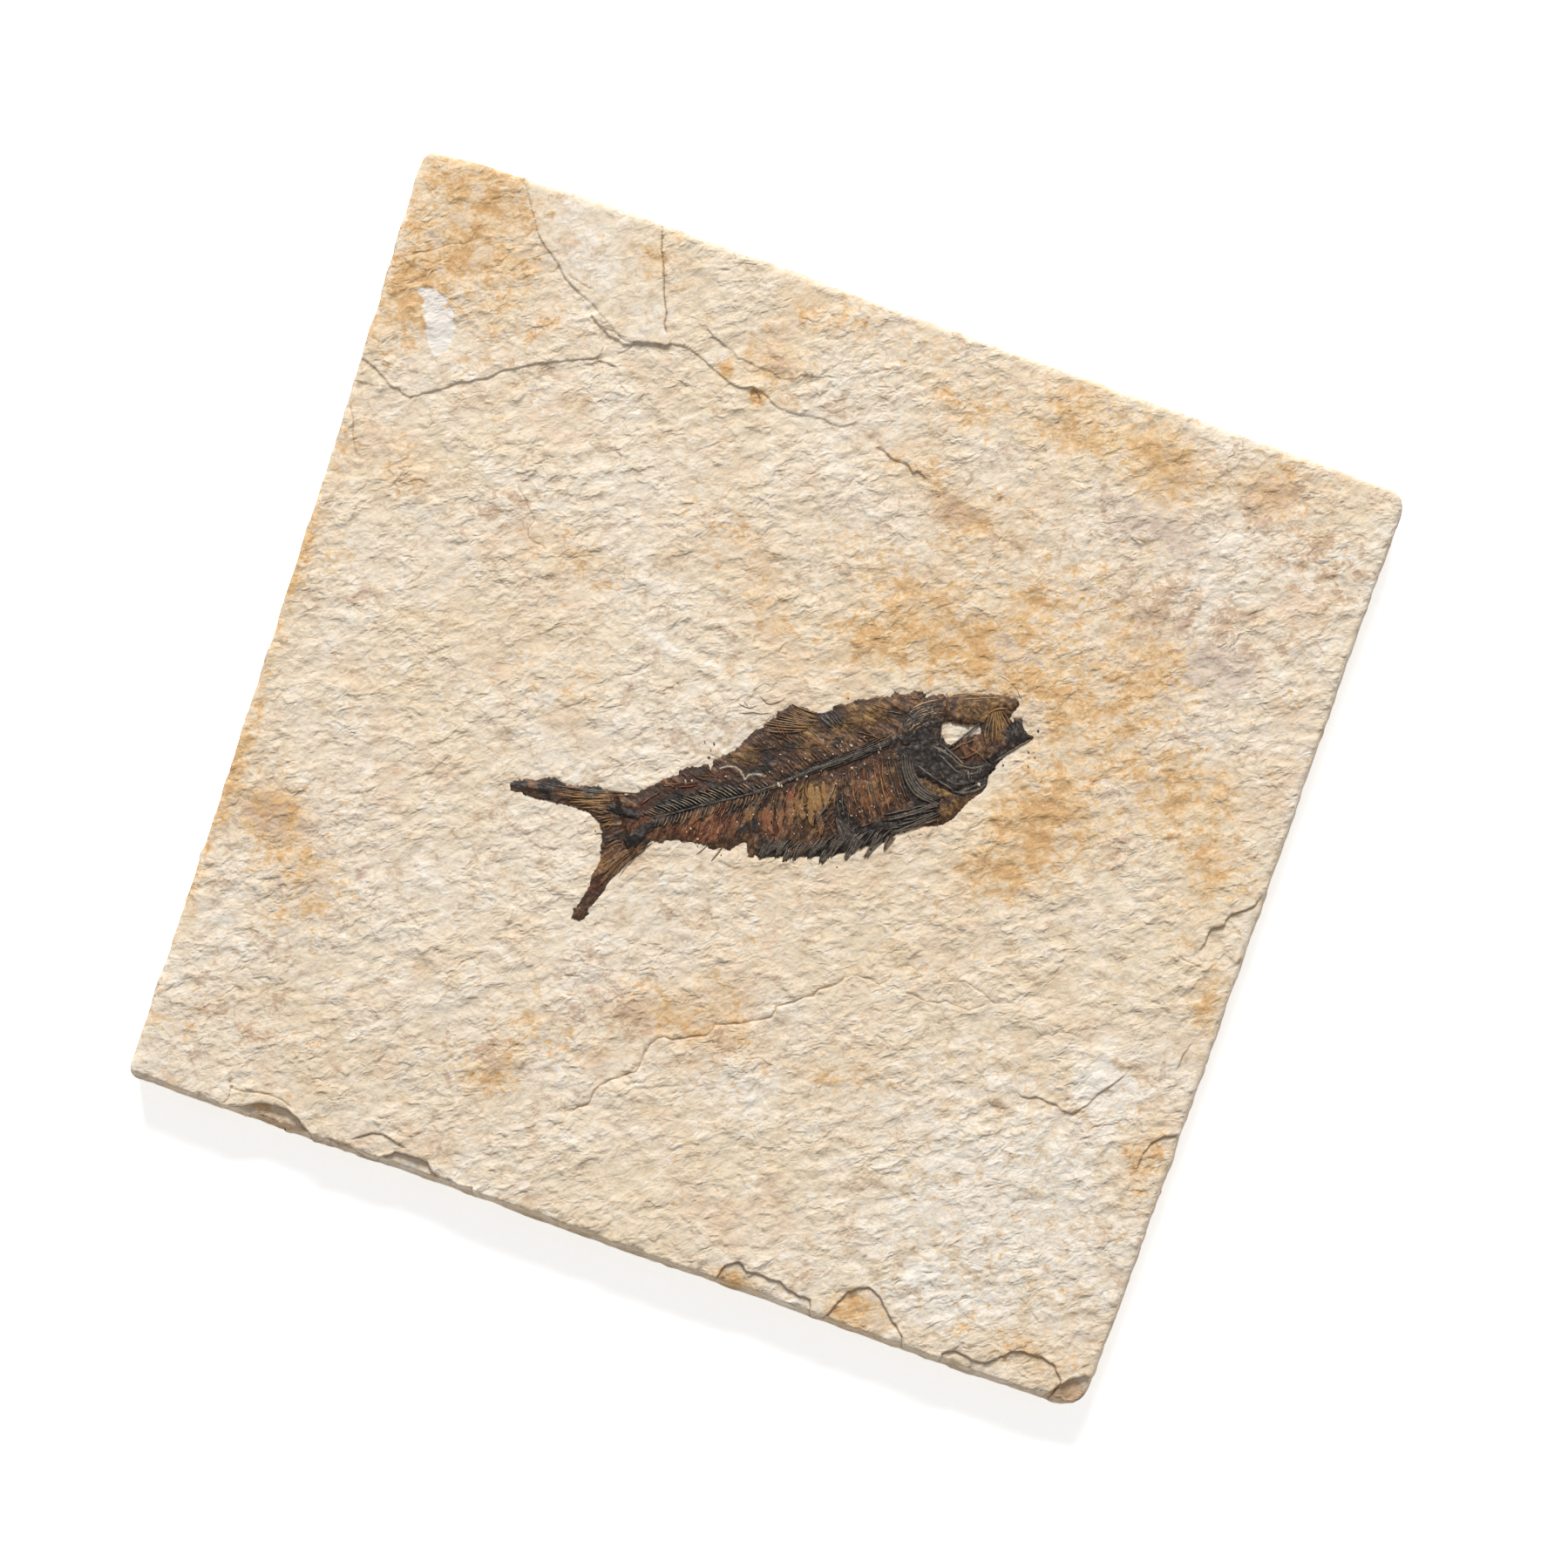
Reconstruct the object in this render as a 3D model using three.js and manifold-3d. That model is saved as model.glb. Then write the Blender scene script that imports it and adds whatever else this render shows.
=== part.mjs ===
// A fossil fish slab: a square plate of pale laminated limestone that lies on its flat underside,
// with a flattened herring-like fish fixed in its rough upper face.
// Units are millimetres, +Z is up, and the origin is the middle of the underside.
import * as THREE from "three";
import { mergeVertices } from "three/addons/utils/BufferGeometryUtils.js";
import Module from "manifold-3d";

const wasm = await Module();
wasm.setup();

// Driving dimensions of the slab.
const SLAB_TOP = 8.0; // main bedding plane, above the underside
const EDGE_ROUND = 0.7; // worn rounding of the upper and lower rims
const EDGE_STEPS = 2;
const CORNER_LAYER = 0.9; // how far the corner flake stands above the bedding plane
const TONGUE_LAYER = 1.6; // the tongue-shaped flake that lies over it
const BACK_LAYER = 0.8; // the small flake at the back edge
const CHIP_FLOOR = 5.6; // floor of the scoop broken out of the front edge
const SPALL_DEPTH = 0.5; // thin sheets that have come off at the front edge

// Driving dimensions of the fish. Its own frame has +X towards the snout and +Y towards the back.
const FISH_PLACE = [3.4, 2.0];
const FISH_TURN = THREE.MathUtils.degToRad(37.2);
const SKIN_TOP = SLAB_TOP + 0.4;
const SKIN_LOW = SLAB_TOP - 0.3;
const SEAT_FLOOR = SLAB_TOP - 0.6;
const SEAT_GAP = 0.3;
const SEAT_GAP_DIRECTIONS = 8;
const BONE_LOW = SLAB_TOP + 0.2; // bones start inside the skin, so each one joins it
const FINE_BONE_TOP = SLAB_TOP + 0.62;
const BONE_TOP = SLAB_TOP + 0.8;
const PLATE_TOP = SLAB_TOP + 0.95;

// Worn outline of the slab, anticlockwise from the front left corner.
const SLAB_OUTLINE = [
  [-72.6, -69.6], [-72.1, -70.7], [-70.9, -71.0], [-64.5, -71.2], [-55, -71.3], [-45, -71.25],
  [-30, -71.05], [-15, -71.1], [0, -71.25], [20, -71.45], [40, -71.6], [58, -71.75], [66, -71.7],
  [70.5, -71.6], [72.8, -71.2], [74.2, -70.2], [74.75, -68.6], [74.85, -66], [75.0, -60],
  [75.2, -50], [75.3, -35], [75.45, -20], [75.5, 0], [75.55, 20], [75.55, 45], [75.65, 60],
  [75.8, 66], [75.6, 68.3], [74.9, 69.7], [73.4, 70.15], [68, 70.3], [50, 70.55], [30, 70.7],
  [10, 71.0], [-10, 71.25], [-30, 71.5], [-45, 71.75], [-55, 71.7], [-65, 71.35], [-70, 70.85],
  [-74.2, 70.5], [-75.2, 69.8], [-75.7, 67], [-75.8, 64], [-75.6, 60], [-75.3, 52], [-74.9, 44],
  [-74.7, 38], [-74.4, 30], [-74.1, 20], [-73.8, 5], [-73.4, -10], [-73.2, -20], [-72.9, -32],
  [-72.75, -45], [-72.7, -58],
];

// Flakes still lying on the bedding plane. Each one runs past the slab's edge and is trimmed by it.
const CORNER_FLAKE = [
  [-80, 39.3], [-74.5, 39.2], [-69.4, 36.7], [-65.8, 35.9], [-61.7, 38.6], [-56.1, 42.3],
  [-50, 46.4], [-44.4, 49.5], [-40.2, 50.1], [-42.1, 50.8], [-41.2, 54], [-38, 60], [-38, 76],
  [-80, 76],
];
const TONGUE_FLAKE = [
  [-60.5, 76], [-59.7, 70.5], [-57.7, 66.8], [-54.6, 63.3], [-49.5, 59.7], [-44.9, 56.6],
  [-39.3, 53.9], [-35.7, 54.3], [-32.7, 55.6], [-34.7, 58.7], [-36.2, 64.3], [-39.3, 70.5],
  [-39.8, 76],
];
const BACK_FLAKE = [
  [-28.6, 59.2], [-25.5, 56.1], [-24, 53.9], [-19.4, 53.6], [-14.3, 51.8], [-6.1, 52.5],
  [-3.1, 54.6], [-3.6, 58.2], [-8.2, 60.2], [-18.4, 61.2],
];

// Material broken away along the front edge.
const FRONT_SCOOP = [
  [-58.9, -76], [-58.5, -70], [-55.1, -68.5], [-50, -67.9], [-46.4, -70], [-45.2, -76],
];
const FRONT_SPALLS = [
  [[16, -76], [17.3, -70], [19, -68], [23.5, -67.4], [26, -68.7], [32, -68.6], [35, -76]],
  [[35.2, -76], [36.9, -66], [39.8, -64.3], [43.4, -66.4], [46, -70], [47, -76]],
  [[69, -76], [70.4, -69.5], [72.4, -67.4], [80, -64], [80, -76]],
];

// Outline of the flattened fish, clockwise from the tip of the upper tail lobe along the back.
const BACK_EDGE = [
  [-38.8, 11], [-37.5, 11.2], [-34.5, 10.3], [-32.2, 10], [-31.2, 9.1], [-30, 7.9], [-28, 6.9],
  [-26.5, 6.2], [-25, 5.4], [-23.5, 4.3], [-21, 4], [-18, 4.4], [-15, 4.75], [-12.7, 5.25],
  [-9.2, 5], [-6.2, 5.5], [-4, 6.5], [-1.2, 7.4], [1.5, 8.9], [3.8, 9.3], [5.3, 8.5], [7.2, 7.1],
  [9.7, 7.2], [12.2, 7], [14.2, 6.7], [17.8, 6.1], [20, 5.4], [22.5, 5.1], [24.7, 4],
];
const HEAD_EDGE = [
  [27.6, 3.3], [31, 2.15], [34.4, 0.75], [35.6, -0.5], [34.2, -1.9], [35.2, -3.1], [35.1, -4.6],
  [36.1, -6.05], [34, -6.6], [31, -7.45], [28.3, -9.25], [27.3, -10.8], [25.2, -12],
];
const BELLY_EDGE = [
  [21.2, -13.7], [18.5, -13.7], [12.7, -13.2], [10.4, -15], [7.2, -15], [4.3, -14.1], [0.9, -14.3],
  [-2.5, -12.2], [-5, -11.2], [-8, -10], [-9, -7.6], [-12, -7.3], [-15.2, -5.7], [-17.5, -4.3],
  [-19.8, -4],
];
const TAIL_EDGE = [
  [-22.5, -3.8], [-25.6, -5.2], [-28.7, -6.7], [-31.8, -9], [-34.5, -10.9], [-35.9, -10.3],
  [-34, -8.5], [-32, -6.8], [-31.1, -5.3], [-29.3, -3.6], [-28.2, -1.1], [-27.8, 1], [-28.6, 3.2],
  [-31.4, 5.5], [-33.6, 6.75], [-36.2, 8], [-37.8, 9.5],
];
const FISH_OUTLINE = [...BACK_EDGE, ...HEAD_EDGE, ...BELLY_EDGE, ...TAIL_EDGE];

// The eye socket, open to the stone under it. It is listed anticlockwise, as a hole in the outline.
const ORBIT = [
  [23.8, -2.3], [24.4, -3.6], [25.4, -3.5], [27.1, -3], [28.2, -2.2], [26.9, -1.6], [24.75, -0.35],
  [24, -0.5],
];

// The column's middle line, from the tail's fork to the skull.
const COLUMN = [[-22, 0], [-14, -0.5], [-6, -1.15], [0, -0.9], [6, -0.4], [17, -0.4]];
const COLUMN_WIDTH = 1.1;
const VERTEBRA_PITCH = 0.95;
const VERTEBRA_LENGTH = 0.6;

// Families of like bones. A family is spread evenly from its first bone to its last one, and each
// bone is a line of points with the widths that it has there.
const BONE_FAMILIES = {
  ribs: {
    count: 16,
    first: [[4.4, -0.6], [4.3, -5.5], [3.6, -9.8]],
    last: [[16, -0.4], [15.9, -5.5], [15.2, -9.8]],
    widths: [0.42, 0.38, 0.26],
    top: FINE_BONE_TOP,
  },
  neural_spines: {
    count: 20,
    first: [[-17.5, -0.3], [-19, 1.2], [-20.9, 3.0]],
    last: [[3, -0.6], [1.5, 1.7], [-0.4, 4.6]],
    widths: [0.34, 0.3, 0.2],
    top: FINE_BONE_TOP,
  },
  haemal_spines: {
    count: 14,
    first: [[-16.5, -0.4], [-17.5, -1.7], [-18.9, -3.1]],
    last: [[-3, -1], [-4, -3.7], [-5.4, -6.4]],
    widths: [0.34, 0.3, 0.2],
    top: FINE_BONE_TOP,
  },
  upper_tail_rays: {
    count: 9,
    first: [[-22.6, 3.6], [-29.4, 6.8], [-37.6, 10.3]],
    last: [[-22.6, 1.4], [-26.2, 2.6], [-28.8, 3.9]],
    widths: [0.22, 0.3, 0.22],
    top: FINE_BONE_TOP,
  },
  lower_tail_rays: {
    count: 9,
    first: [[-22.6, -3.2], [-28.4, -6], [-34.3, -10.2]],
    last: [[-22.6, -1.1], [-26, -0.8], [-28.6, -1.6]],
    widths: [0.22, 0.3, 0.22],
    top: FINE_BONE_TOP,
  },
  dorsal_rays: {
    count: 7,
    first: [[2.6, 4.2], [-0.6, 7.4]],
    last: [[9.2, 4.4], [7.4, 6.6]],
    widths: [0.34, 0.2],
    top: FINE_BONE_TOP,
  },
  pectoral_rays: {
    count: 5,
    first: [[19.6, -10.4], [15.5, -10.5], [11.6, -10.6]],
    last: [[19.6, -12.4], [15.5, -12.5], [11.6, -12.6]],
    widths: [0.34, 0.34, 0.24],
    top: BONE_TOP,
  },
  belly_scutes: {
    count: 7,
    first: [[0.4, -10.2], [-1.2, -10.9], [-2.8, -11.5]],
    last: [[13.2, -12.3], [11.6, -13], [10, -13.6]],
    widths: [0.5, 0.55, 0.24],
    top: BONE_TOP,
  },
};

// Broad bones and plates, each an outline on the skin.
const PLATES = {
  skull_roof: [[24.9, 0.3], [25.6, 2.9], [28.9, 2.4], [33.6, 0.6], [34.9, -0.6], [31, -1.2]],
  gill_cover: [
    [17.6, -2.2], [20, -1.2], [22.2, -3.2], [24, -5.2], [24.8, -7.8], [23, -8.7], [19.4, -6.9],
  ],
  throat: [[19.7, -12], [23.4, -11.3], [22.8, -12.6], [20, -13.3]],
  tail_base_upper: [[-26, 3.3], [-24.9, 3.3], [-21, 0.6], [-22, 0.2], [-24, 1.2]],
  tail_base_lower: [[-25, -1.9], [-24.9, -3.3], [-19.6, -1.3], [-20.2, -0.6], [-23.5, -1.3]],
};

// Long bones and strands: their middle lines with the widths at each point.
const LONG_BONES = {
  shoulder_bow: {
    line: [[17.3, -2.8], [16.7, -6], [17.3, -8.5], [19.4, -10.2]],
    widths: [0.9, 1.2, 1.1, 0.6],
  },
  lower_jaw: {
    line: [[24.2, -8.1], [28.5, -8.1], [31.5, -6.7], [35.3, -6.1]],
    widths: [0.9, 1, 0.7, 0.3],
  },
  upper_jaw: { line: [[28.6, -4.6], [31.6, -4.8], [34.6, -3.9]], widths: [0.5, 0.7, 0.5] },
  eye_strut: { line: [[23.6, -4.2], [27, -3.6], [30.8, -1.4]], widths: [0.5, 0.4, 0.5] },
};

function pathOf(points) {
  return new THREE.Shape(points.map(([x, y]) => new THREE.Vector2(x, y)));
}

function prism(outline, low, high, hole) {
  const shape = pathOf(outline);
  if (hole) {
    shape.holes.push(pathOf(hole));
  }
  const geometry = new THREE.ExtrudeGeometry(shape, { depth: high - low, bevelEnabled: false });
  return geometry.translate(0, 0, low);
}

function solid(geometry) {
  const bare = geometry.clone();
  bare.deleteAttribute("normal");
  bare.deleteAttribute("uv");
  const merged = mergeVertices(bare);
  const mesh = new wasm.Mesh({
    numProp: 3,
    vertProperties: merged.attributes.position.array,
    triVerts: new Uint32Array(merged.index.array),
  });
  return new wasm.Manifold(mesh);
}

function geometryOf(manifold) {
  const mesh = manifold.getMesh();
  const geometry = new THREE.BufferGeometry();
  geometry.setAttribute("position", new THREE.BufferAttribute(mesh.vertProperties, mesh.numProp));
  geometry.setIndex(new THREE.BufferAttribute(mesh.triVerts, 1));
  geometry.computeVertexNormals();
  return geometry;
}

// The outline of a bone that follows a line of points, with its own width at each point.
function boneOutline(line, widths) {
  const left = [];
  const right = [];
  line.forEach(([x, y], i) => {
    const [ax, ay] = line[Math.max(i - 1, 0)];
    const [bx, by] = line[Math.min(i + 1, line.length - 1)];
    const length = Math.hypot(bx - ax, by - ay);
    const side = [(-(by - ay) / length) * widths[i] * 0.5, ((bx - ax) / length) * widths[i] * 0.5];
    left.push([x + side[0], y + side[1]]);
    right.unshift([x - side[0], y - side[1]]);
  });
  return [...right, ...left];
}

function bone(line, widths, high) {
  return prism(boneOutline(line, widths), BONE_LOW, high);
}

function columnY(x) {
  const next = COLUMN.findIndex(([px]) => px >= x);
  const [ax, ay] = COLUMN[Math.max(next - 1, 0)];
  const [bx, by] = COLUMN[Math.max(next, 1)];
  return THREE.MathUtils.mapLinear(x, ax, bx, ay, by);
}

function vertebrae() {
  const start = COLUMN[0][0] + VERTEBRA_PITCH / 2;
  const end = COLUMN[COLUMN.length - 1][0] - VERTEBRA_PITCH / 2;
  const half = VERTEBRA_LENGTH / 2;
  const beads = [];
  for (let x = start; x <= end; x += VERTEBRA_PITCH) {
    const line = [[x - half, columnY(x)], [x + half, columnY(x)]];
    beads.push(bone(line, [COLUMN_WIDTH, COLUMN_WIDTH], PLATE_TOP));
  }
  return beads;
}

function family({ count, first, last, widths, top }) {
  return Array.from({ length: count }, (_, i) => {
    const share = i / (count - 1);
    const line = first.map((point, k) => [
      THREE.MathUtils.lerp(point[0], last[k][0], share),
      THREE.MathUtils.lerp(point[1], last[k][1], share),
    ]);
    return bone(line, widths, top);
  });
}

function fishSolid() {
  const plates = Object.values(PLATES).map((edge) => prism(edge, BONE_LOW, BONE_TOP));
  const longBones = Object.values(LONG_BONES).map(({ line, widths }) => bone(line, widths, PLATE_TOP));
  const families = Object.values(BONE_FAMILIES).flatMap(family);
  const relief = [...plates, ...longBones, ...families, ...vertebrae()];
  const skin = solid(prism(FISH_OUTLINE, SKIN_LOW, SKIN_TOP, ORBIT));
  const reach = solid(prism(FISH_OUTLINE, SKIN_LOW, 2 * PLATE_TOP, ORBIT));
  const bones = relief.map(solid).reduce((all, next) => all.add(next));
  return skin.add(bones.intersect(reach));
}

// The seat that the fish fills: its outline moved out by the gap on every side.
function fishSeat() {
  const body = prism(FISH_OUTLINE, SEAT_FLOOR, SKIN_TOP, ORBIT);
  body.rotateZ(FISH_TURN).translate(FISH_PLACE[0], FISH_PLACE[1], 0);
  const copies = [solid(body)];
  for (let i = 0; i < SEAT_GAP_DIRECTIONS; i += 1) {
    const angle = (2 * Math.PI * i) / SEAT_GAP_DIRECTIONS;
    const moved = body.clone().translate(Math.cos(angle) * SEAT_GAP, Math.sin(angle) * SEAT_GAP, 0);
    copies.push(solid(moved));
  }
  return copies.reduce((all, next) => all.add(next));
}

function slabSolid() {
  const plate = new THREE.ExtrudeGeometry(pathOf(SLAB_OUTLINE), {
    depth: SLAB_TOP - 2 * EDGE_ROUND,
    bevelSize: EDGE_ROUND,
    bevelThickness: EDGE_ROUND,
    bevelOffset: -EDGE_ROUND,
    bevelSegments: EDGE_STEPS,
  });
  plate.translate(0, 0, EDGE_ROUND);
  const tallest = SLAB_TOP + TONGUE_LAYER;
  const trim = solid(prism(SLAB_OUTLINE, 0, tallest));
  const layers = [
    [CORNER_FLAKE, CORNER_LAYER],
    [TONGUE_FLAKE, TONGUE_LAYER],
    [BACK_FLAKE, BACK_LAYER],
  ].map(([outline, height]) => solid(prism(outline, SLAB_TOP / 2, SLAB_TOP + height)).intersect(trim));
  let slab = layers.reduce((all, next) => all.add(next), solid(plate));
  slab = slab.subtract(solid(prism(FRONT_SCOOP, CHIP_FLOOR, tallest)));
  FRONT_SPALLS.forEach((outline) => {
    slab = slab.subtract(solid(prism(outline, SLAB_TOP - SPALL_DEPTH, tallest)));
  });
  return slab.subtract(fishSeat());
}

const limestone = new THREE.MeshStandardMaterial({ color: 0xe2d2b4, roughness: 0.92, metalness: 0 });
const fossilBone = new THREE.MeshStandardMaterial({ color: 0x4a3424, roughness: 0.55, metalness: 0 });

const slabMesh = new THREE.Mesh(geometryOf(slabSolid()), limestone);
slabMesh.name = "limestone_slab";

const fishMesh = new THREE.Mesh(geometryOf(fishSolid()), fossilBone);
fishMesh.name = "fossil_fish";
fishMesh.position.set(FISH_PLACE[0], FISH_PLACE[1], 0);
fishMesh.rotation.z = FISH_TURN;

const group = new THREE.Group();
group.add(slabMesh, fishMesh);

export default group;
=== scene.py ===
"""A split slab of limestone with a fossil fish on its bedding plane.

The slab and the fish's skin are cut from grids, and every bone is a tapered strand or a thin plate.
Sizes inside the functions are millimetres; pieces are scaled to metres when they are finished.
"""

import math

import bmesh
import bpy
import numpy as np
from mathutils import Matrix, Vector, noise


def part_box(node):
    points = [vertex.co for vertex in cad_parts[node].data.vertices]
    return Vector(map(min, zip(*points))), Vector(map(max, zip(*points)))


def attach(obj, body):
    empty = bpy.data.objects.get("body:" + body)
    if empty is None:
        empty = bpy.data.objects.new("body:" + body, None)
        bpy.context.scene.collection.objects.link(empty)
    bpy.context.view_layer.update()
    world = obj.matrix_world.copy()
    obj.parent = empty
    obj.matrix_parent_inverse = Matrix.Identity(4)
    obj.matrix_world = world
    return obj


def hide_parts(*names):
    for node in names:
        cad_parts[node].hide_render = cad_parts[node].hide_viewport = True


bl_info = {
    "name": "Fossil Fish Slab",
    "version": (1, 0, 0),
    "blender": (4, 5, 0),
    "location": "3D View > Sidebar > Fossil",
    "description": "Builds a limestone slab with a fossil fish around its packed solids",
    "category": "Object",
}

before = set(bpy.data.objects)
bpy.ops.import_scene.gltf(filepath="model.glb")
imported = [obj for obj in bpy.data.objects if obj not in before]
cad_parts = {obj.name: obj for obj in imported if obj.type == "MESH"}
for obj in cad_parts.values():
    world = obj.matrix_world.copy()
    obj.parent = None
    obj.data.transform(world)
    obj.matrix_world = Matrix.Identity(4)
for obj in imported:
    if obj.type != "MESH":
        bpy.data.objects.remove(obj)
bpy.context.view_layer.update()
LOW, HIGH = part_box("limestone_slab")

MM = 0.001
TONGUE_RISE = 1.6
BED = HIGH.z / MM - TONGUE_RISE
HALF_X = HIGH.x / MM
HALF_Y = HIGH.y / MM


def srgb(red, green, blue):
    """A display colour of 0 to 255 as the linear colour that a shader takes."""

    def linear(value):
        value /= 255
        return value / 12.92 if value < 0.04045 else ((value + 0.055) / 1.055) ** 2.4

    return (linear(red), linear(green), linear(blue))


# ---------------- lines and stains of the stone
# Millimetres from the point near the slab's middle that the stone was measured from.
SURVEY_ORIGIN = (0.45, -0.55)

# How far the top edge stands in from the slab's box: (place along the edge, inset).
LEFT_INSET = ((-72, 3.2), (-45, 3.05), (-20, 2.6), (5, 2), (30, 1.4), (44, 0.9), (60, 0.2), (66, 0))
RIGHT_INSET = ((-72, 1), (-60, 0.8), (-35, 0.5), (0, 0.3), (45, 0.25), (66, 0))
FRONT_INSET = ((-73, 0.75), (-55, 0.45), (-30, 0.7), (0, 0.5), (40, 0.15), (58, 0), (75, 0.05))
BACK_INSET = ((-76, 1.15), (-65, 0.4), (-45, 0), (-10, 0.5), (30, 1.05), (76, 1.55))
CORNER_RADIUS = {(-1, -1): 2, (1, -1): 4.5, (1, 1): 3, (-1, 1): 1.6}

CORNER_LEDGE = (
    (-75, 39.4), (-73, 38.8), (-71, 37.7), (-69.5, 36.9), (-68, 36.6), (-66.5, 36.3), (-65.5, 37),
    (-64, 38), (-62, 39.3), (-60, 40.9), (-58, 42), (-56.5, 42.9), (-55, 44.5), (-53, 45.5), (-51.5, 46.6),
    (-49.5, 47.7), (-47.5, 48.4), (-46, 49.2), (-44, 50), (-42.5, 50.8),
)
CORNER_FLAKE = CORNER_LEDGE + ((-42.3, 52.5), (-45.5, 55.8), (-40, 80), (-90, 80), (-90, 39.4))
TONGUE_LEDGE = (
    (-61.2, 71.5), (-60, 70), (-59, 68.5), (-58.5, 67.3), (-57.5, 66), (-56.5, 64.8), (-55.2, 63.6),
    (-53.5, 62.3), (-52, 61.2), (-51, 60.2), (-49.9, 59.4), (-48.5, 58.8), (-47, 58.2), (-45.5, 57.6),
    (-44.5, 56.8), (-43, 56.1), (-41.7, 55.2), (-40.5, 54.6), (-39, 54.5), (-37.5, 54.8), (-36, 55),
    (-35, 55.4), (-33.9, 55.6), (-33.2, 56.3),
)
TONGUE_SIDE = (
    (-33.6, 57), (-34.4, 57.7), (-35, 58.5), (-35.2, 59.6), (-36, 61.5), (-36.7, 63), (-37.2, 64.5),
    (-37.8, 66), (-38.7, 68), (-39.2, 69.5), (-39.9, 71.5),
)
TONGUE = TONGUE_LEDGE + TONGUE_SIDE + ((-41, 80), (-66, 80))
TONGUE_FOOT = (
    (-49, 59), (-47.5, 57.8), (-46, 56.8), (-45, 55.8), (-43.5, 55.2), (-42, 54.2), (-40, 53.9),
)
TONGUE_SHELF = TONGUE_FOOT + ((-38.5, 54.2), (-38, 57), (-48, 60.5))
BACK_LEDGE = (
    (-33.5, 56.2), (-30.5, 56.4), (-28, 55.6), (-25.8, 54.5), (-24, 53.9), (-22.5, 53.5), (-21.6, 53.4),
    (-20.5, 53.9), (-19.5, 54), (-18, 53.7), (-17, 53.3), (-16, 52.8), (-15, 52.5), (-14, 52.35),
    (-13, 52.4), (-11.5, 52.7), (-10, 53), (-9, 53.1), (-8, 52.8), (-7, 52.8), (-6, 52.9), (-5.2, 53.3),
    (-4.5, 54), (-3.8, 54.6), (-3.2, 55), (-3, 56), (-2.8, 57),
)
BACK_FLAKE = BACK_LEDGE + ((-1, 60), (4, 64), (14, 80), (-44, 80), (-36, 60))
BACK_STEP = (
    (-29, 60), (-27.5, 59), (-26, 58.5), (-24.5, 58.2), (-23.5, 57.6), (-22, 57.3), (-20.5, 57.2),
    (-18, 57.2), (-17, 56.7), (-16, 56.7), (-15, 57.1), (-14.3, 57.5), (-13.8, 58.1), (-12.5, 58.4),
    (-9, 59.5),
)
BACK_UPPER = BACK_STEP + ((-2, 63), (10, 80), (-40, 80))
FRONT_LIP = (
    (-58.3, -70.4), (-57, -69.5), (-55.5, -68.9), (-54, -68), (-52.5, -67.5), (-50.5, -67.2), (-49, -67.3),
    (-47.5, -68), (-46, -69), (-44.5, -69.8),
)
FRONT_SCOOP = FRONT_LIP + ((-43.5, -74), (-60, -74))
FRONT_FLOOR = (
    (-54.9, -70.9), (-54.2, -69.8), (-52.5, -69.2), (-50.5, -69.4), (-48.6, -70.2), (-48, -74), (-56, -74),
)
SECOND_SCOOP = (
    (-43.5, -70.2), (-42.5, -69.4), (-41, -69.2), (-39.5, -69.2), (-38, -69.6), (-36, -70.2), (-35.5, -74),
    (-44, -74),
)
THIRD_SCOOP = (
    (-34.5, -69.5), (-33, -68.5), (-32.3, -67.8), (-31, -67.7), (-27.5, -67.8), (-26.5, -68.8),
    (-25, -69.3), (-23.5, -69), (-22, -69.5), (-20, -69.3), (-18.5, -74), (-35, -74),
)
OCHRE_SPALL = (
    (17.6, -70), (18.4, -67.6), (20, -66.5), (21.5, -67.3), (23, -67.2), (25, -67.5), (26.5, -67.2),
    (28, -68), (30, -68.3), (31.5, -68.3), (32.5, -70.5), (32, -74), (17, -74),
)
PEAK_SPALL = (
    (34.5, -70.2), (35.5, -67.5), (36.3, -65.5), (37.5, -64.5), (39.3, -63.8), (41, -64.5), (42.5, -66),
    (44, -67.3), (46.2, -69), (47.5, -74), (34, -74),
)
RIGHT_SPALL = (
    (52.3, -69.3), (53.5, -68.6), (55, -68.5), (57, -68.8), (58.7, -68.6), (60, -67.3), (61.5, -66),
    (62.8, -65.3), (64.5, -65.2), (66, -65), (68, -65.4), (70, -67.5), (69, -74), (52, -74),
)
CORNER_CHIP = (
    (68.5, -70.3), (70, -68), (71.5, -66.5), (73, -65.6), (74, -65.4), (80, -65), (80, -78), (67, -78),
)
BRUISE = (
    (-70.3, 51.9), (-69, 52.3), (-67, 52), (-65.5, 50.8), (-64.3, 49.5), (-63.6, 47.5), (-63.2, 45.5),
    (-63.5, 44.5), (-65, 43.3), (-66.5, 44.5), (-67.3, 45.8), (-68.3, 48), (-69, 49.5), (-70.3, 51),
)
OCHRE_CHIP = ((-19.8, 53.9), (-18.9, 53.6), (-18.1, 52.6), (-17.9, 52), (-18.9, 52.1), (-20, 52.9))

# Closed areas that stand above or below the bedding plane: (outline, rise, wall width).
RAISED = (
    (CORNER_FLAKE, 0.28, 0.18),
    (TONGUE_SHELF, 0.36, 0.2),
    (TONGUE, 0.54, 0.2),
)
# The back flake thins out towards the right: its rise fades between these two places.
BACK_FADE = ((-20, 1), (12, 0))
BACK_LAYERS = ((BACK_FLAKE, 0.27, 0.11), (BACK_UPPER, 0.2, 0.12))
SUNKEN = (
    (FRONT_SCOOP, 1.3, 0.25), (FRONT_FLOOR, 1.2, 0.25), (SECOND_SCOOP, 0.9, 0.25), (THIRD_SCOOP, 0.9, 0.3),
    (OCHRE_SPALL, 0.5, 0.14), (PEAK_SPALL, 0.45, 0.14), (RIGHT_SPALL, 0.45, 0.16), (CORNER_CHIP, 1.1, 0.4),
    (BRUISE, 0.14, 0.12), (OCHRE_CHIP, 0.35, 0.1),
)

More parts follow.
